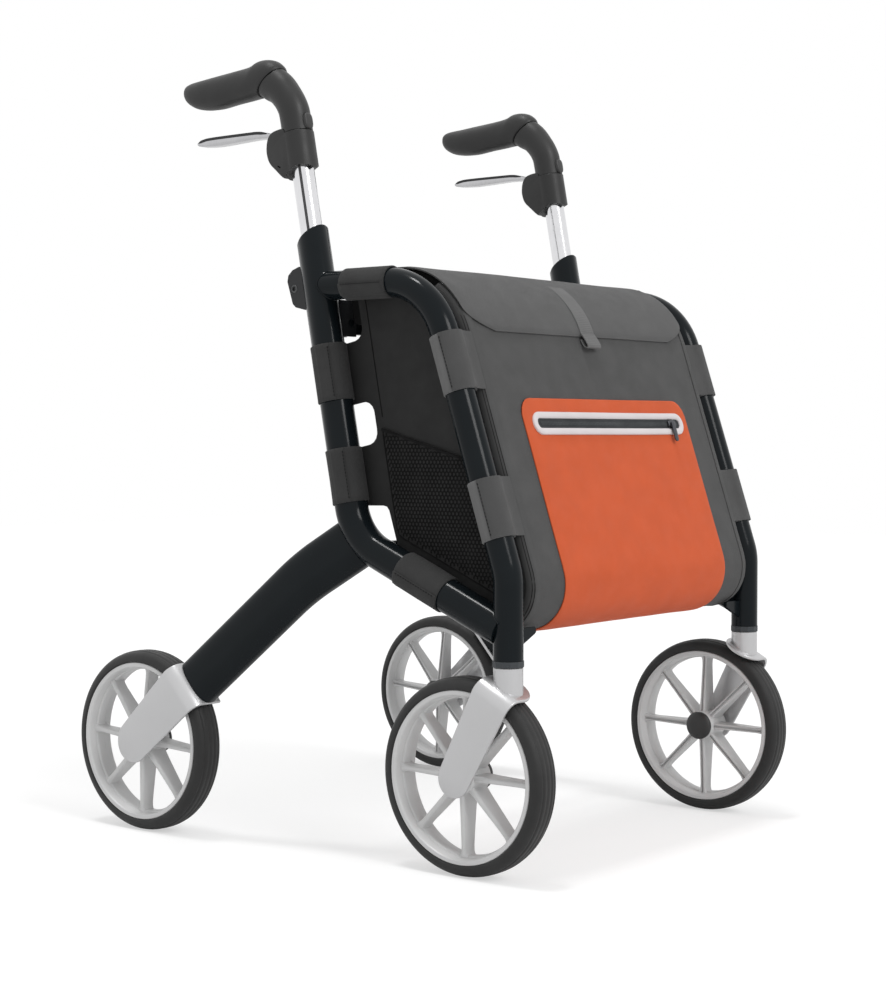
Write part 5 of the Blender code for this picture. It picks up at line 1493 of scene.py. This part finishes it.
@dataclass(frozen=True)
class BagFront:
    """The bag's shell, flap and pull, and the pocket with its zip.

    Attributes:
        half: Half the shell's width.
        flap_half: Half the flap's width.
        flap_back: Where the flap is hinged.
        pocket_half: Half the pocket's width.
        pocket_top: The pocket's upper edge, down from the top corner.
        zip_half: Half the width of the zip's surround.
        zip_top: The surround's upper edge, down from the top corner.
        zip_high: The surround's height.
        teeth: How many turns the zip's coil has.
        slider_x: Where the slider is at rest.
    """

    half: float = 0.2025
    flap_half: float = 0.2052
    flap_back: float = -0.046
    pocket_half: float = 0.155
    pocket_top: float = 0.1293
    zip_half: float = 0.1425
    zip_top: float = 0.1449
    zip_high: float = 0.0247
    teeth: int = 104
    slider_x: float = 0.117

    @staticmethod
    def normals(line: Line) -> Line:
        """Returns the outward direction at each point of a line that runs down the front."""
        found = []
        for index in range(len(line)):
            along = line[min(index + 1, len(line) - 1)] - line[max(index - 1, 0)]
            found.append(Vector((along.y, -along.x)).normalized())
        return found

    def draped(
        self,
        line: Line,
        widths: Callable[[int], float],
        thick: float,
        columns: int,
        rise: Callable[[float, int], float] = lambda across, row: 0.0,
    ) -> Form:
        """Returns a closed sheet that lies along a side-plane line.

        Args:
            line: The line under the sheet, from its upper edge.
            widths: Half the width at each row.
            thick: The sheet's thickness.
            columns: Pieces across.
            rise: Extra height at a share across, from -1 to 1, and a row.

        Returns:
            The sheet, its hems a little rounded.
        """
        ways = self.normals(line)
        rings = []
        for column in range(columns + 1):
            share = -1 + 2 * column / columns
            outer, inner = [], []
            for row, (point, way) in enumerate(zip(line, ways)):
                place = at_side(point, share * widths(row))
                low = place + at_side(way) * (swell(place) + rise(share, row))
                inner.append(low)
                hem = 0.55 if row in (0, len(line) - 1) or column in (0, columns) else 1.0
                outer.append(low + at_side(way) * thick * hem)
            rings.append(outer + inner[::-1])
        return Form().skin(rings)

    def shell(self) -> None:
        """Builds the bag's body: front, foot and back in one soft sheet, open at its sides."""
        outline = LINES.bag_outline(0.0, 0.592)
        outline = spaced([*outline, outline[-1] + LINES.up * 0.0152], 0.006)
        ways = self.normals(outline)
        rings = []
        for column in range(73):
            x = -self.half + 2 * self.half * column / 72
            edge = max(0.0, (abs(x) - 0.195) / (self.half - 0.195))
            outer, inner = [], []
            for point, way in zip(outline, ways):
                place = at_side(point, x)
                outer.append(place + at_side(way) * (swell(place) - 0.0022 * edge**2))
                inner.append(place - at_side(way) * 0.003)
            rings.append(outer + inner[::-1])
        form = Form().skin(rings)
        item = piece("bag_body", form, CANVAS, "frame_right", "bag_cloth", "bag_shell", folds=True, sharp=60)
        length_of(outline)

    def flap(self) -> None:
        """Builds the flap, which lies over the top and turns down in front."""
        line = LINES.hugging(self.bag_offset, self.flap_back, 0.0562, steps=30)
        lengths = [(line[-1] - point).length for point in line]

        def half(row: int) -> float:
            """Returns half the width at a row: its corners are cut round."""
            return self.flap_half - 0.042 * max(0.0, 1 - lengths[row] / 0.028) ** 2.3

        def rise(_: float, row: int) -> float:
            """Returns the height at a row: the flap stands off above its lower edge."""
            return 0.0014 * clamped((lengths[row] - 0.030) / 0.045)

        form = self.draped(line, half, 0.0025, 64, rise)
        item = piece("flap", form, FLAP_CANVAS, "flap", "flap_cloth", "bag_flap", folds=True, sharp=60)
        length_of(line)

    @property
    def bag_offset(self) -> float:
        """How far the flap's underside is from the tubes' centre line."""
        return LINES.bag_proud + 0.0004

    def strap(self) -> None:
        """Builds the webbing pull, which ends in a soft loop below the flap's edge."""
        offset = self.bag_offset + 0.0029
        line = LINES.hugging(offset, -0.100, 0.050, steps=20)
        loop = (
            (0.056, 0.0008), (0.062, 0.0028), (0.067, 0.0044), (0.0705, 0.0048),
            (0.0718, 0.0030), (0.0700, 0.0006), (0.0660, -0.0012), (0.0610, -0.0022),
        )
        line += [LINES.on_front(0, down, offset + out).yz for down, out in loop]
        path = [at_side(point) for point in flowing(line, 2)]
        form = sweep([p + Vector((0, 0, swell(p))) for p in path], slab(0.0125, 0.0008, 0.0006))
        piece("flap_pull", form, WEBBING, "flap", "strap_webbing", "flap_strap", folds=True, sharp=60)

    def pocket(self) -> None:
        """Builds the orange pocket, which runs down the front and under the bag."""
        front, bottom = LINES.bag_lines(0.0004)
        corner = crossing(front, LINES.front_down, bottom, LINES.lower_along)
        start = LINES.on_front(0, self.pocket_top, LINES.bag_proud + 0.0004).yz
        end = corner + LINES.lower_along * -0.1074
        line = rounded([start, corner, end], [0.0474], steps=14)
        first = [start.lerp(line[1], share) for share in (0, 0.004, 0.012, 0.03, 0.06, 0.1)]
        line = [*first, *spaced([line[1].lerp(start, 0.88), *line[1:]], 0.006)]
        reach = 0.020  # the radius of its upper corners
        lengths = [(point - start).length for point in line]

        def half(row: int) -> float:
            """Returns half the width at a row: its upper corners are round."""
            gap = max(0.0, reach - lengths[row])
            return self.pocket_half - reach + math.sqrt(reach**2 - gap**2)

        def crease(share: float, row: int) -> float:
            """Returns the height at a place: one shallow crease runs across."""
            return -0.0012 * math.exp(-(((lengths[row] - 0.208) / 0.006) ** 2)) * (1 - share**4)

        form = self.draped(line, half, 0.002, 64, crease)
        item = piece("pocket", form, ORANGE, "frame_right", "orange_cloth", "front_pocket", folds=True, sharp=60)
        length_of(line)

    def stadium(self, half_x: float, inset: float, offset: float, steps: int = 14) -> Line:
        """Returns a level round-ended outline on the pocket.

        Args:
            half_x: Half its width.
            inset: How much lower its top is than the surround's.
            offset: Its distance from the pocket's cloth.
            steps: Pieces in each end.

        Returns:
            The outline's points in space.
        """
        radius = self.zip_high / 2 - inset
        ring = []
        for sign, start in ((1, -90), (-1, 90)):
            level = self.zip_top + inset + (0 if sign > 0 else 2 * radius)
            xs = [sign * (half_x - radius) * share for share in (-0.5, 0.0, 0.5)]
            ring += [self.on_pocket(x, level, offset) for x in xs]
            for along, down in arc(start, start + 180, steps):
                x = sign * (half_x - radius) + radius * along
                ring.append(self.on_pocket(x, self.zip_top + inset + radius + radius * down, offset))
        return ring

    @staticmethod
    def on_pocket(x: float, down: float, offset: float) -> Vector:
        """Returns a point over the pocket's cloth, which swells with the bag."""
        base = LINES.on_front(x, down, LINES.bag_proud + 0.0024)
        return base + at_side(LINES.front_ahead) * (offset + swell(base))

    def zip(self) -> None:
        """Builds the zip's raised surround, its tape, its coil and its slider."""
        section = (
            (0.0, 0.0001), (0.0, 0.0014), (0.0007, 0.0022), (0.0020, 0.0026), (0.0048, 0.0026),
            (0.0063, 0.0021), (0.0071, 0.0012), (0.0071, 0.0001),
        )
        rings = [self.stadium(self.zip_half - inset, inset, offset) for inset, offset in section]
        form = Form().skin(rings, loop=True)
        piece("zip_surround.piece", form, PIPING, "frame_right", "zip_edge", "zip_surround", folds=True, sharp=50)
        tape = Form().skin([self.stadium(self.zip_half - 0.0066, 0.0066, offset) for offset in (0.0001, 0.0006)])
        piece("zip_tape", tape, ZIP_TAPE, "frame_right", folds=True)
        coil = Form()
        middle = self.zip_top + self.zip_high / 2
        for index in range(self.teeth):
            x = -0.1285 + 0.257 * index / (self.teeth - 1)
            ends = [self.on_pocket(x + share * 0.0003, middle + share * 0.0019, 0.0009) for share in (-1, 1)]
            coil.add(rod(ends, 0.00055, 6))
        piece("zip_coil", coil, ZIP_COIL, "frame_right", folds=True)
        self.slider(middle)

    def slider(self, middle: float) -> None:
        """Builds the zip's slider and its tapered pull."""
        half = [(-0.007, -0.0030), (0.004, -0.0042), (0.0072, -0.0024)]
        body = [*half, *[(along, -down) for along, down in half[::-1]]]
        pull = [(-0.0036, -0.0012), (0.0030, -0.0012), (0.0012, 0.0215), (-0.0052, 0.0215)]
        body_levels = ((0.0017, 0.0), (0.0034, 0.0), (0.0040, 0.0007))
        pull_levels = ((0.0042, 0.0006), (0.0045, 0.0), (0.0055, 0.0), (0.0058, 0.0006))
        plates = ((body, [0.0012] * 6, body_levels), (pull, [0.0016, 0.0016, 0.0024, 0.0024], pull_levels))
        form = Form()
        for corners, radii, levels in plates:
            places = [Vector((self.slider_x + along, middle + down)) for along, down in corners]
            form.add(self.plate(rounded(places, radii, steps=4, closed=True), levels))
        piece("zip_slider.piece", form, SLIDER_METAL, "zip_slider", "cap_plastic", "zip_slider", folds=True)

    def plate(self, outline: Line, levels: Sequence[tuple[float, float]]) -> Form:
        """Returns a flat plate over the pocket.

        Args:
            outline: Its corners, as (x, distance down).
            levels: Its (height over the pocket, inset) rows.

        Returns:
            The plate.
        """
        centre = sum(outline, Vector((0, 0))) / len(outline)
        rows = []
        for level, inset in levels:
            away = [(point - centre) * (1 - inset / (point - centre).length) for point in outline]
            rows.append([self.on_pocket(*(centre + step), level) for step in away])
        return Form().skin(rows)

    def build(self) -> None:
        """Builds the whole front of the bag."""
        for step in (self.shell, self.flap, self.strap, self.pocket, self.zip):
            step()


class LoopPlace(Enum):
    """Where the bag's loops hold the frame, in the order of the CAD."""

    TOP = "top"
    HIGH = "high"
    LOW = "low"
    FRONT_HIGH = "front_high"
    FRONT_LOW = "front_low"
    BASE = "base"


@dataclass(frozen=True)
class Loop:
    """A loop of the bag's cloth round a tube.

    Attributes:
        middle: The tube's axis at the loop's middle, in the side plane.
        along: The tube's direction.
        ahead: The direction that the stitched face is turned towards from outwards.
        radius: The tube's radius.
        length: The loop's length.
        seam: The stitch line's angle from outwards towards ahead.
        lap: How far the tape's end stands out where it laps over its start.
    """

    middle: Vector
    along: Vector
    ahead: Vector
    radius: float
    length: float
    seam: float
    lap: float = 0.0010

    def shape(self, side: Side) -> Form:
        """Returns the loop's ring, with the step of its lap and its inner side against the panel."""
        outward, ahead, along = X_AXIS * side.value, at_side(self.ahead), at_side(self.along)
        centre = at_side(self.middle, side.value * LINES.frame_x)
        inner, outer, half = self.radius + 0.0003, self.radius + 0.0017, self.length / 2
        panel = LINES.frame_x - LINES.panel_outer_x - 0.0003
        rings = []
        for step in range(73):
            turn = self.seam + 360 * step / 72
            reach = outer + (self.lap if step > 62 else 0.0)
            facing = abs(turn % 360 - 180)
            if facing < 48:
                reach = max(reach, outer + (panel - outer) * clamped((48 - facing) / 26))
            level, rise = cos_sin(turn)
            way = outward * level + ahead * rise
            wave = 0.00035 * noise.noise(way * 2.2 + centre * 30)
            section = (
                (-half, inner), (-half, reach - 0.0005), (-half + 0.0007, reach + 0.0001),
                (-half + 0.006, reach + wave), (0.0, reach + wave * 2), (half - 0.006, reach + wave),
                (half - 0.0007, reach + 0.0001), (half, reach - 0.0005), (half, inner),
            )
            rings.append([centre + along * place + way * radius for place, radius in section])
        return Form().skin(rings, loop=True)

    def stitches(self, side: Side) -> Form:
        """Returns the loop's row of stitches."""
        sign = side.value
        level, rise = cos_sin(self.seam - 3.5 if self.lap else self.seam + 4.0)
        way = X_AXIS * sign * level + at_side(self.ahead) * rise
        reach = self.radius + (0.0027 if self.lap else 0.0029)
        centre = at_side(self.middle, sign * LINES.frame_x) + way * reach
        half = at_side(self.along) * (self.length / 2 - 0.003)
        return stitch_row([centre - half, centre + half], way)


@dataclass(frozen=True)
class BagSide(OneSide):
    """A side panel of the bag with its ears, its loops and its net pocket.

    Attributes:
        round_edge: The radius of the panel's turned-in edge.
        ear_round: The radius of the cut-outs between its ears.
        tuck: How far the turned-in cloth runs on along the front.
        seam_turn: How far round its edge the corner's seam lies, in degrees.
        net_front_z: The height of the net's upper edge in front.
        net_back_z: The height of that edge behind.
        net_pitch: From one hole of the net to the next.
        net_cord: Half the width of its cords.
    """

    round_edge: float = 0.008
    ear_round: float = 0.013
    tuck: float = 0.0045
    seam_turn: float = 58.0
    net_front_z: float = 0.4056
    net_back_z: float = 0.4396
    net_pitch: float = 0.0046
    net_cord: float = 0.0007

    @property
    def loops(self) -> dict[LoopPlace, Loop]:
        """The six loops of a side."""
        up, ahead, level = LINES.up, -LINES.behind, Vector((-1, 0))
        down, front, base = LINES.front_down, LINES.front_ahead, LINES.lower_along
        above = Vector((base.y, -base.x))
        return {
            LoopPlace.TOP: Loop(Vector((-0.0844, LINES.top_corner.y)), level, Vector((0, 1)), 0.015, 0.061, 0.0),
            LoopPlace.HIGH: Loop(LINES.on_upright(0.5035), up, ahead, 0.0175, 0.060, 41.0),
            LoopPlace.LOW: Loop(LINES.on_upright(0.3965), up, ahead, 0.0175, 0.057, 41.0),
            LoopPlace.FRONT_HIGH: Loop(LINES.on_front_tube(0.5105), down, front, 0.015, 0.061, 11.0, 0.0),
            LoopPlace.FRONT_LOW: Loop(LINES.on_front_tube(0.3656), down, front, 0.015, 0.061, 11.0, 0.0),
            LoopPlace.BASE: Loop(LINES.on_lower_tube(-0.1584), base, above, 0.0175, 0.0603, 0.0),
        }

    def turned_edge(self) -> Line:
        """Returns the line where the flat panel starts to turn in, down its front and under its foot."""
        outer = LINES.bag_outline(-self.round_edge, 0.588, 0.039, 0.007)
        back = LINES.upright_foot - LINES.behind * 0.033
        limit = -self.round_edge - 0.0001
        behind = [(point - back).dot(LINES.behind) > limit and point.y > 0.3 for point in outer]
        return outer[: behind.index(True)]

    def panel_outline(self) -> Line:
        """Returns the panel's flat outline: the bag's, moved in by its round edge, with ears to the upright."""
        course = self.turned_edge()
        places = (
            (0.3600, 0.033, 0.007), (0.3655, 0.0, 0.0), (0.4255, 0.0, 0.0), (0.4255, 0.033, self.ear_round),
            (0.4700, 0.033, self.ear_round), (0.4700, 0.0, 0.0), (0.5340, 0.0, 0.0),
            (0.5340, 0.033, self.ear_round), (0.588, 0.033, 0.0),
        )
        corners = [LINES.on_upright(z) - LINES.behind * ahead for z, ahead, _ in places]
        rear = rounded([course[-1], *corners], [radius for _, _, radius in places[:-1]], steps=8)
        line = [*course, *rear[1:]]
        return spaced([*line, line[0]], 0.005)[:-1]

    def panel(self) -> None:
        """Builds the panel: a flat field, and the front's cloth that turns in beside the tubes."""
        sign, tag, outline = self.side.value, self.side.tag, self.panel_outline()

        def place(point: Vector) -> Vector:
            """Returns a point of the panel, which is a little slack between its edges."""
            spot = at_side(point)
            near = clamped((0.588 - spot.z) / 0.05) * clamped((spot.z - 0.26) / 0.05)
            wave = 0.0010 * noise.noise(spot * 14 + Vector((3 * sign, 0, 0))) * near
            return at_side(point, sign * (LINES.panel_outer_x + min(0.0, wave)))

        form = filled(outline, place, 0.010)
        item = self.piece("side_panel", form, SIDE_CLOTH, "side_cloth", "side_panel", thick=0.0019, sharp=60)
        low, high = box_of(outline)
        flat, tubes = (high[0] - low[0], high[1] - low[1]), (f"front_tube_{tag}", f"upright_tube_{tag}")
        area_of(outline)
        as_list(tubes)
        line = spaced(self.turned_edge(), 0.005)
        ways = BagFront.normals(line)
        turns = [self.seam_turn * step / 6 for step in range(7)]
        rest = [(self.seam_turn + (90 - self.seam_turn) * step / 3, 0.0) for step in range(4)]
        parts = (
            # The border is the front's canvas with painted shade; the corner cloth keeps the canvas's own colour.
            ("panel_border", [(turn, 0.0) for turn in turns], SHADED_CORNER_CANVAS, "side_cloth"),
            ("corner_cloth", [*rest, (90.0, self.tuck)], CANVAS, "bag_cloth"),
        )
        for name, course, finish, slot in parts:
            rings = []
            for turn, further in course:
                level, rise = cos_sin(turn)
                x = LINES.panel_outer_x - self.round_edge * (1 - level) - further
                out = self.round_edge * rise + further * 0.04
                rings.append([at_side(point + way * out, sign * x) for point, way in zip(line, ways)])
            self.piece(name, Form().skin(rings, wrap=False), finish, slot, thick=0.0012, sharp=60)

    def seams(self) -> None:
        """Builds the panel's seams: the piped corner of the front and the line in front of the ears."""
        sign, sewn = self.side.value, []
        for turn in (self.seam_turn, self.seam_turn - 20):
            level, out = cos_sin(turn)
            proud = self.round_edge * (out - 1) + 0.0002
            edge = spaced(LINES.bag_outline(proud, 0.56, 0.039 + self.round_edge * out), 0.006)
            cut = next(index for index, p in enumerate(edge) if p.y < 0.30 and p.x > -0.16)
            x = LINES.panel_outer_x - self.round_edge * (1 - level)
            sewn.append([at_side(point, sign * x) for point in edge[:cut]])
        behind = sign * (LINES.panel_outer_x + 0.0011)
        rear = [at_side(LINES.on_upright(z) - LINES.behind * 0.043, behind) for z in (0.45, 0.50, 0.55, 0.585)]
        form = Form().add(*(bead(line, 0.0006, loop=False) for line in (*sewn, rear)))
        self.piece("panel_seams", form, EDGE_TAPE_AND_SHADE)

    def sew_loops(self) -> None:
        """Builds the loops, the tongues of the front ones, and their stitches."""
        for place, loop in self.loops.items():
            front = place in (LoopPlace.FRONT_HIGH, LoopPlace.FRONT_LOW)
            # The front loops wear the canvas painted paler as painted light; the others wear the dark tape.
            cloth = (LIT_LOOP_CANVAS, "bag_cloth") if front else (LOOP_TAPE, "side_cloth")
            self.piece(f"loop_{place.value}", loop.shape(self.side), *cloth, sharp=45)
            self.piece(f"loop_stitches_{place.value}", loop.stitches(self.side), EDGE_TAPE_AND_SHADE)
            if front:
                self.tongue(place, loop)

    def tongue(self, place: LoopPlace, loop: Loop) -> None:
        """Builds the cloth that runs from the bag's front over a front loop."""
        sign = self.side.value
        course = (
            (0.1900, 0.0112), (0.1940, 0.0119), (0.1985, 0.0124), (0.2030, 0.0128), (0.2075, 0.0130),
            (0.2115, 0.0132), (0.2150, 0.0137),
        )
        middle = (loop.middle - LINES.top_corner).dot(LINES.front_down)
        rows = []
        for down in spaced([Vector((-loop.length / 2, 0)), Vector((loop.length / 2, 0))], 0.006):
            row = [LINES.on_front(sign * x, middle + down.x, offset + 0.0004) for x, offset in course]
            for turn in (121, 112, 103, 95, 88, 78, 68, 58, 48, 38, 28, 19, 11):
                reach, (level, rise) = loop.radius + 0.0023, cos_sin(turn)
                x = LINES.frame_x + reach * level
                row.append(LINES.on_front(sign * x, middle + down.x, reach * rise))
            rows.append(row)
        form = Form().skin(rows, wrap=False)
        self.piece(f"tongue_{place.value}", form, CANVAS, "bag_cloth", thick=0.0010, sharp=60)

    def collar(self) -> None:
        """Builds the strip that closes the bag's side from the panel up to the flap, painted near-black as painted
        shade of the side cloth there.
        """
        back, foot, offset = LINES.upright_foot - LINES.behind * 0.018, 0.555, LINES.bag_proud + 0.0010
        levels = (foot, LINES.top_corner.y + LINES.bag_proud + 0.0010)
        low, high = (crossing(back, LINES.up, Vector((0, z)), Vector((1, 0))) for z in levels)
        above = [point for point in LINES.hugging(offset, high.x, 0.050) if point.y > foot]
        outline = spaced([*above, low, above[0]], 0.006)[:-1]
        cloth = filled(outline, lambda p: at_side(p, self.side.value * 0.2003), 0.009)
        # Near-black edge tape on the collar: painted shade of the side cloth under the flap.
        self.piece("bag_collar", cloth, EDGE_TAPE_AND_SHADE, thick=0.0014, sharp=60)

    def net_corners(self) -> Line:
        """Returns the net pocket's four corners in the side plane, from the foot of its front."""
        front = LINES.on_front_tube(self.net_front_z) - LINES.front_ahead * 0.017
        base = LINES.upright_foot + Vector((LINES.lower_along.y, -LINES.lower_along.x)) * 0.021
        back = LINES.upright_foot - LINES.behind * 0.0415
        start = Vector((LINES.on_front_tube(self.net_front_z).x, self.net_front_z))
        along = Vector((back.x - start.x, self.net_back_z - self.net_front_z))
        return [
            crossing(front, LINES.front_down, base, LINES.lower_along),
            crossing(base, LINES.lower_along, back, LINES.up),
            crossing(back, LINES.up, start, along),
            crossing(front, LINES.front_down, start, along),
        ]

    def net_place(self, point: Vector, lift: float) -> Vector:
        """Returns a point over the net pocket, which stands out a little in its middle."""
        corners = self.net_corners()
        reach = min(
            abs((point - a).cross((b - a).normalized())) for a, b in zip(corners, [*corners[1:], corners[0]])
        )
        bulge = 0.0022 * min(1.0, reach / 0.05)
        return at_side(point, self.side.value * (LINES.panel_outer_x + 0.0016 + bulge + lift))

    def net(self) -> None:
        """Builds the pocket's cloth, the cells of its net and its black hem."""
        tag, corners = self.side.tag, self.net_corners()
        ring = rounded(corners, [0.012, 0.012, 0.002, 0.002], 6, closed=True)
        outline = spaced([*ring, ring[0]], 0.006)[:-1]
        cloth = filled(outline, lambda p: self.net_place(Vector(p[:2]), 0.0), 0.009)
        back = self.piece("net_pocket", cloth, NET_BACKING, "net_cloth", "mesh_pocket", thick=0.0008, sharp=60)
        low, high = box_of(corners)
        size, cells = self.net_pitch / math.sqrt(3), Form()
        for row in range(int((high[1] - low[1]) / (1.5 * size)) + 1):
            for column in range(int((high[0] - low[0]) / self.net_pitch) + 1):
                across = (column + 0.5 * (row % 2)) * self.net_pitch
                centre = Vector((low[0] + across, low[1] + row * 1.5 * size))
                cell = [centre + heading(30 + 60 * corner) * size for corner in range(6)]
                if not all(inside(corner, outline) for corner in cell):
                    continue
                for start, end in ((0, 1), (1, 2), (5, 0)):
                    cells.add(self.strut(cell[start], cell[end]))
        cells.add(bead([self.net_place(p, 0.0009) for p in outline], 0.0007))
        self.piece("net_cells", cells, NET_CORD)
        # The hem is a thick near-black bead: the elastic, with painted shade of the gap along it.
        hem = [self.net_place(p, 0.0014) for p in spaced([corners[3].lerp(corners[2], -0.06), corners[2]], 0.006)]
        self.piece("net_hem", bead(hem, 0.0015, loop=False), EDGE_TAPE_AND_SHADE)
        flat, sewn = (high[0] - low[0], high[1] - low[1]), (f"net_cells.{tag}", f"net_hem.{tag}")
        area_of(outline)
        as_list(sewn)

    def strut(self, start: Vector, end: Vector) -> Form:
        """Returns one thin flat cord of the net, with four sides."""
        side = Vector((-(end - start).y, (end - start).x)).normalized() * self.net_cord
        rings = []
        for point in (start, end):
            left, right = point + side, point - side
            places = ((left, 0.0004), (left, 0.0010), (right, 0.0010), (right, 0.0004))
            rings.append([self.net_place(place, lift) for place, lift in places])
        return Form().skin(rings)

    def build(self) -> None:
        """Builds the whole side of the bag."""
        for step in (self.panel, self.collar, self.seams, self.sew_loops, self.net):
            step()


# ---- Pieces kept from the CAD ----


def dress_kept_nodes() -> None:
    """Gives the CAD nodes that stay visible the finish of what they are made of."""
    finishes = {
        ("fold_bracket", "guide_bush"): DARK_NYLON,
        ("stem_seal",): SEAL_RUBBER,
        ("caster_stem", "upper_centre_pin", "lower_centre_pin"): ZINC,
        ("upper_arm", "lower_arm"): PAINT,
    }
    for name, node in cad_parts.items():
        finish = next((finish for starts, finish in finishes.items() if name.startswith(starts)), None)
        if finish is None or node.hide_render:
            continue
        node.data.materials.clear()
        node.data.materials.append(finish.material())
        log.info("%s: kept from the CAD, %s", name, finish.name)


# ---- Studio ----


@dataclass(frozen=True)
class Studio:
    """The photo's camera, its even light and its white room.

    Attributes:
        eye: Where the camera is.
        ahead: Where it looks.
        right: The picture's level direction.
        lens: The focal length for a 36 mm sensor.
    """

    eye: Vector = Vector((-1.77978, -1.42279, 0.44179))
    ahead: Vector = Vector((0.78006, 0.62479, -0.03386))
    right: Vector = Vector((0.62515, -0.78051, 0.0))
    lens: float = 71.456

    @property
    def axes(self) -> tuple[Vector, Vector, Vector]:
        """The camera's right, up and back."""
        back = -self.ahead.normalized()
        return self.right, back.cross(self.right), back

    def camera(self) -> None:
        """Sets up the camera."""
        lens = bpy.data.cameras.new("photo_camera")
        lens.lens, lens.sensor_width, lens.sensor_fit = self.lens, 36.0, "AUTO"
        eye = bpy.data.objects.new("photo_camera", lens)
        turn = Matrix(self.axes).transposed().to_4x4()
        eye.matrix_world = Matrix.Translation(self.eye) @ turn
        bpy.context.scene.collection.objects.link(eye)
        bpy.context.scene.camera = eye

    def sun(self, name: str, towards: Vector, strength: float, spread: float) -> None:
        """Adds a sun.

        Args:
            name: Its name.
            towards: The direction to the sun, as the camera sees it: right, up and back.
            strength: Its strength.
            spread: Its angle across, in degrees.
        """
        right, up, back = self.axes
        way = (right * towards.x + up * towards.y + back * towards.z).normalized()
        light = bpy.data.lights.new(name, "SUN")
        light.energy, light.angle = strength, math.radians(spread)
        lamp = bpy.data.objects.new(name, light)
        lamp.rotation_mode = "QUATERNION"
        lamp.rotation_quaternion = way.to_track_quat("Z", "Y")
        bpy.context.scene.collection.objects.link(lamp)

    def room(self) -> None:
        """Sets up the white surroundings and the floor, which keeps the shadows."""
        world = bpy.data.worlds.new("white_room")
        bpy.context.scene.world = world
        nodes = Nodes(world)
        rays = nodes.add("LightPath").outputs
        mirrored = nodes.maths("MAXIMUM", rays["Is Glossy Ray"], rays["Is Transmission Ray"])
        seen = nodes.maths("MAXIMUM", rays["Is Camera Ray"], mirrored)
        strength = nodes.add("MapRange", {"Value": seen, "To Min": 0.62, "To Max": 1.0}).outputs["Result"]
        light = nodes.add("Background", {"Color": (1, 1, 1, 1), "Strength": strength})
        nodes.add("OutputWorld", {"Surface": light.outputs[0]})
        corners = [Vector((x * 6, y * 6, 0)) for x, y in ((-1, -1), (1, -1), (1, 1), (-1, 1))]
        floor = raw_object("floor", Form(corners, [[0, 1, 2, 3]]))
        made = bpy.data.materials.new("white_floor")
        nodes = Nodes(made)
        seen = nodes.add("LightPath").outputs["Is Camera Ray"]
        tone = nodes.add("MapRange", {"Value": seen, "To Min": 0.82, "To Max": 0.50}).outputs["Result"]
        matt = nodes.add("BsdfDiffuse", {"Color": tone})
        glow = nodes.add("Emission", {"Color": (1, 1, 1, 1), "Strength": nodes.maths("MULTIPLY", seen, 0.54)})
        both = nodes.add("AddShader", {0: matt.outputs[0], 1: glow.outputs[0]})
        nodes.add("OutputMaterial", {"Surface": both.outputs[0]})
        floor.data.materials.append(made)

    def build(self) -> None:
        """Builds the camera, the lamps and the room."""
        self.camera()
        self.sun("key", Vector((0.70, 0.70, 0.75)), 1.1, 22)
        self.sun("top", Vector((-0.15, 1.0, 0.05)), 0.85, 10)
        self.room()
        bpy.context.scene.view_settings.view_transform = "Standard"


def main() -> None:
    """Builds the rollator from its frame outwards, then the studio."""
    logging.basicConfig(level=logging.INFO, format="%(message)s")
    for side in Side:
        SideFrame(side).build()
        Wheel(side, "rear", LINES.rear_axle, LINES.rear_wheel_x, 0.2855, side.frame_body, 4.0).build()
        Caster(side).build()
        Handle(side).build()
        BagSide(side).build()
    BagFront().build()
    dress_kept_nodes()
    Studio().build()


if __name__ == "__main__":
    main()
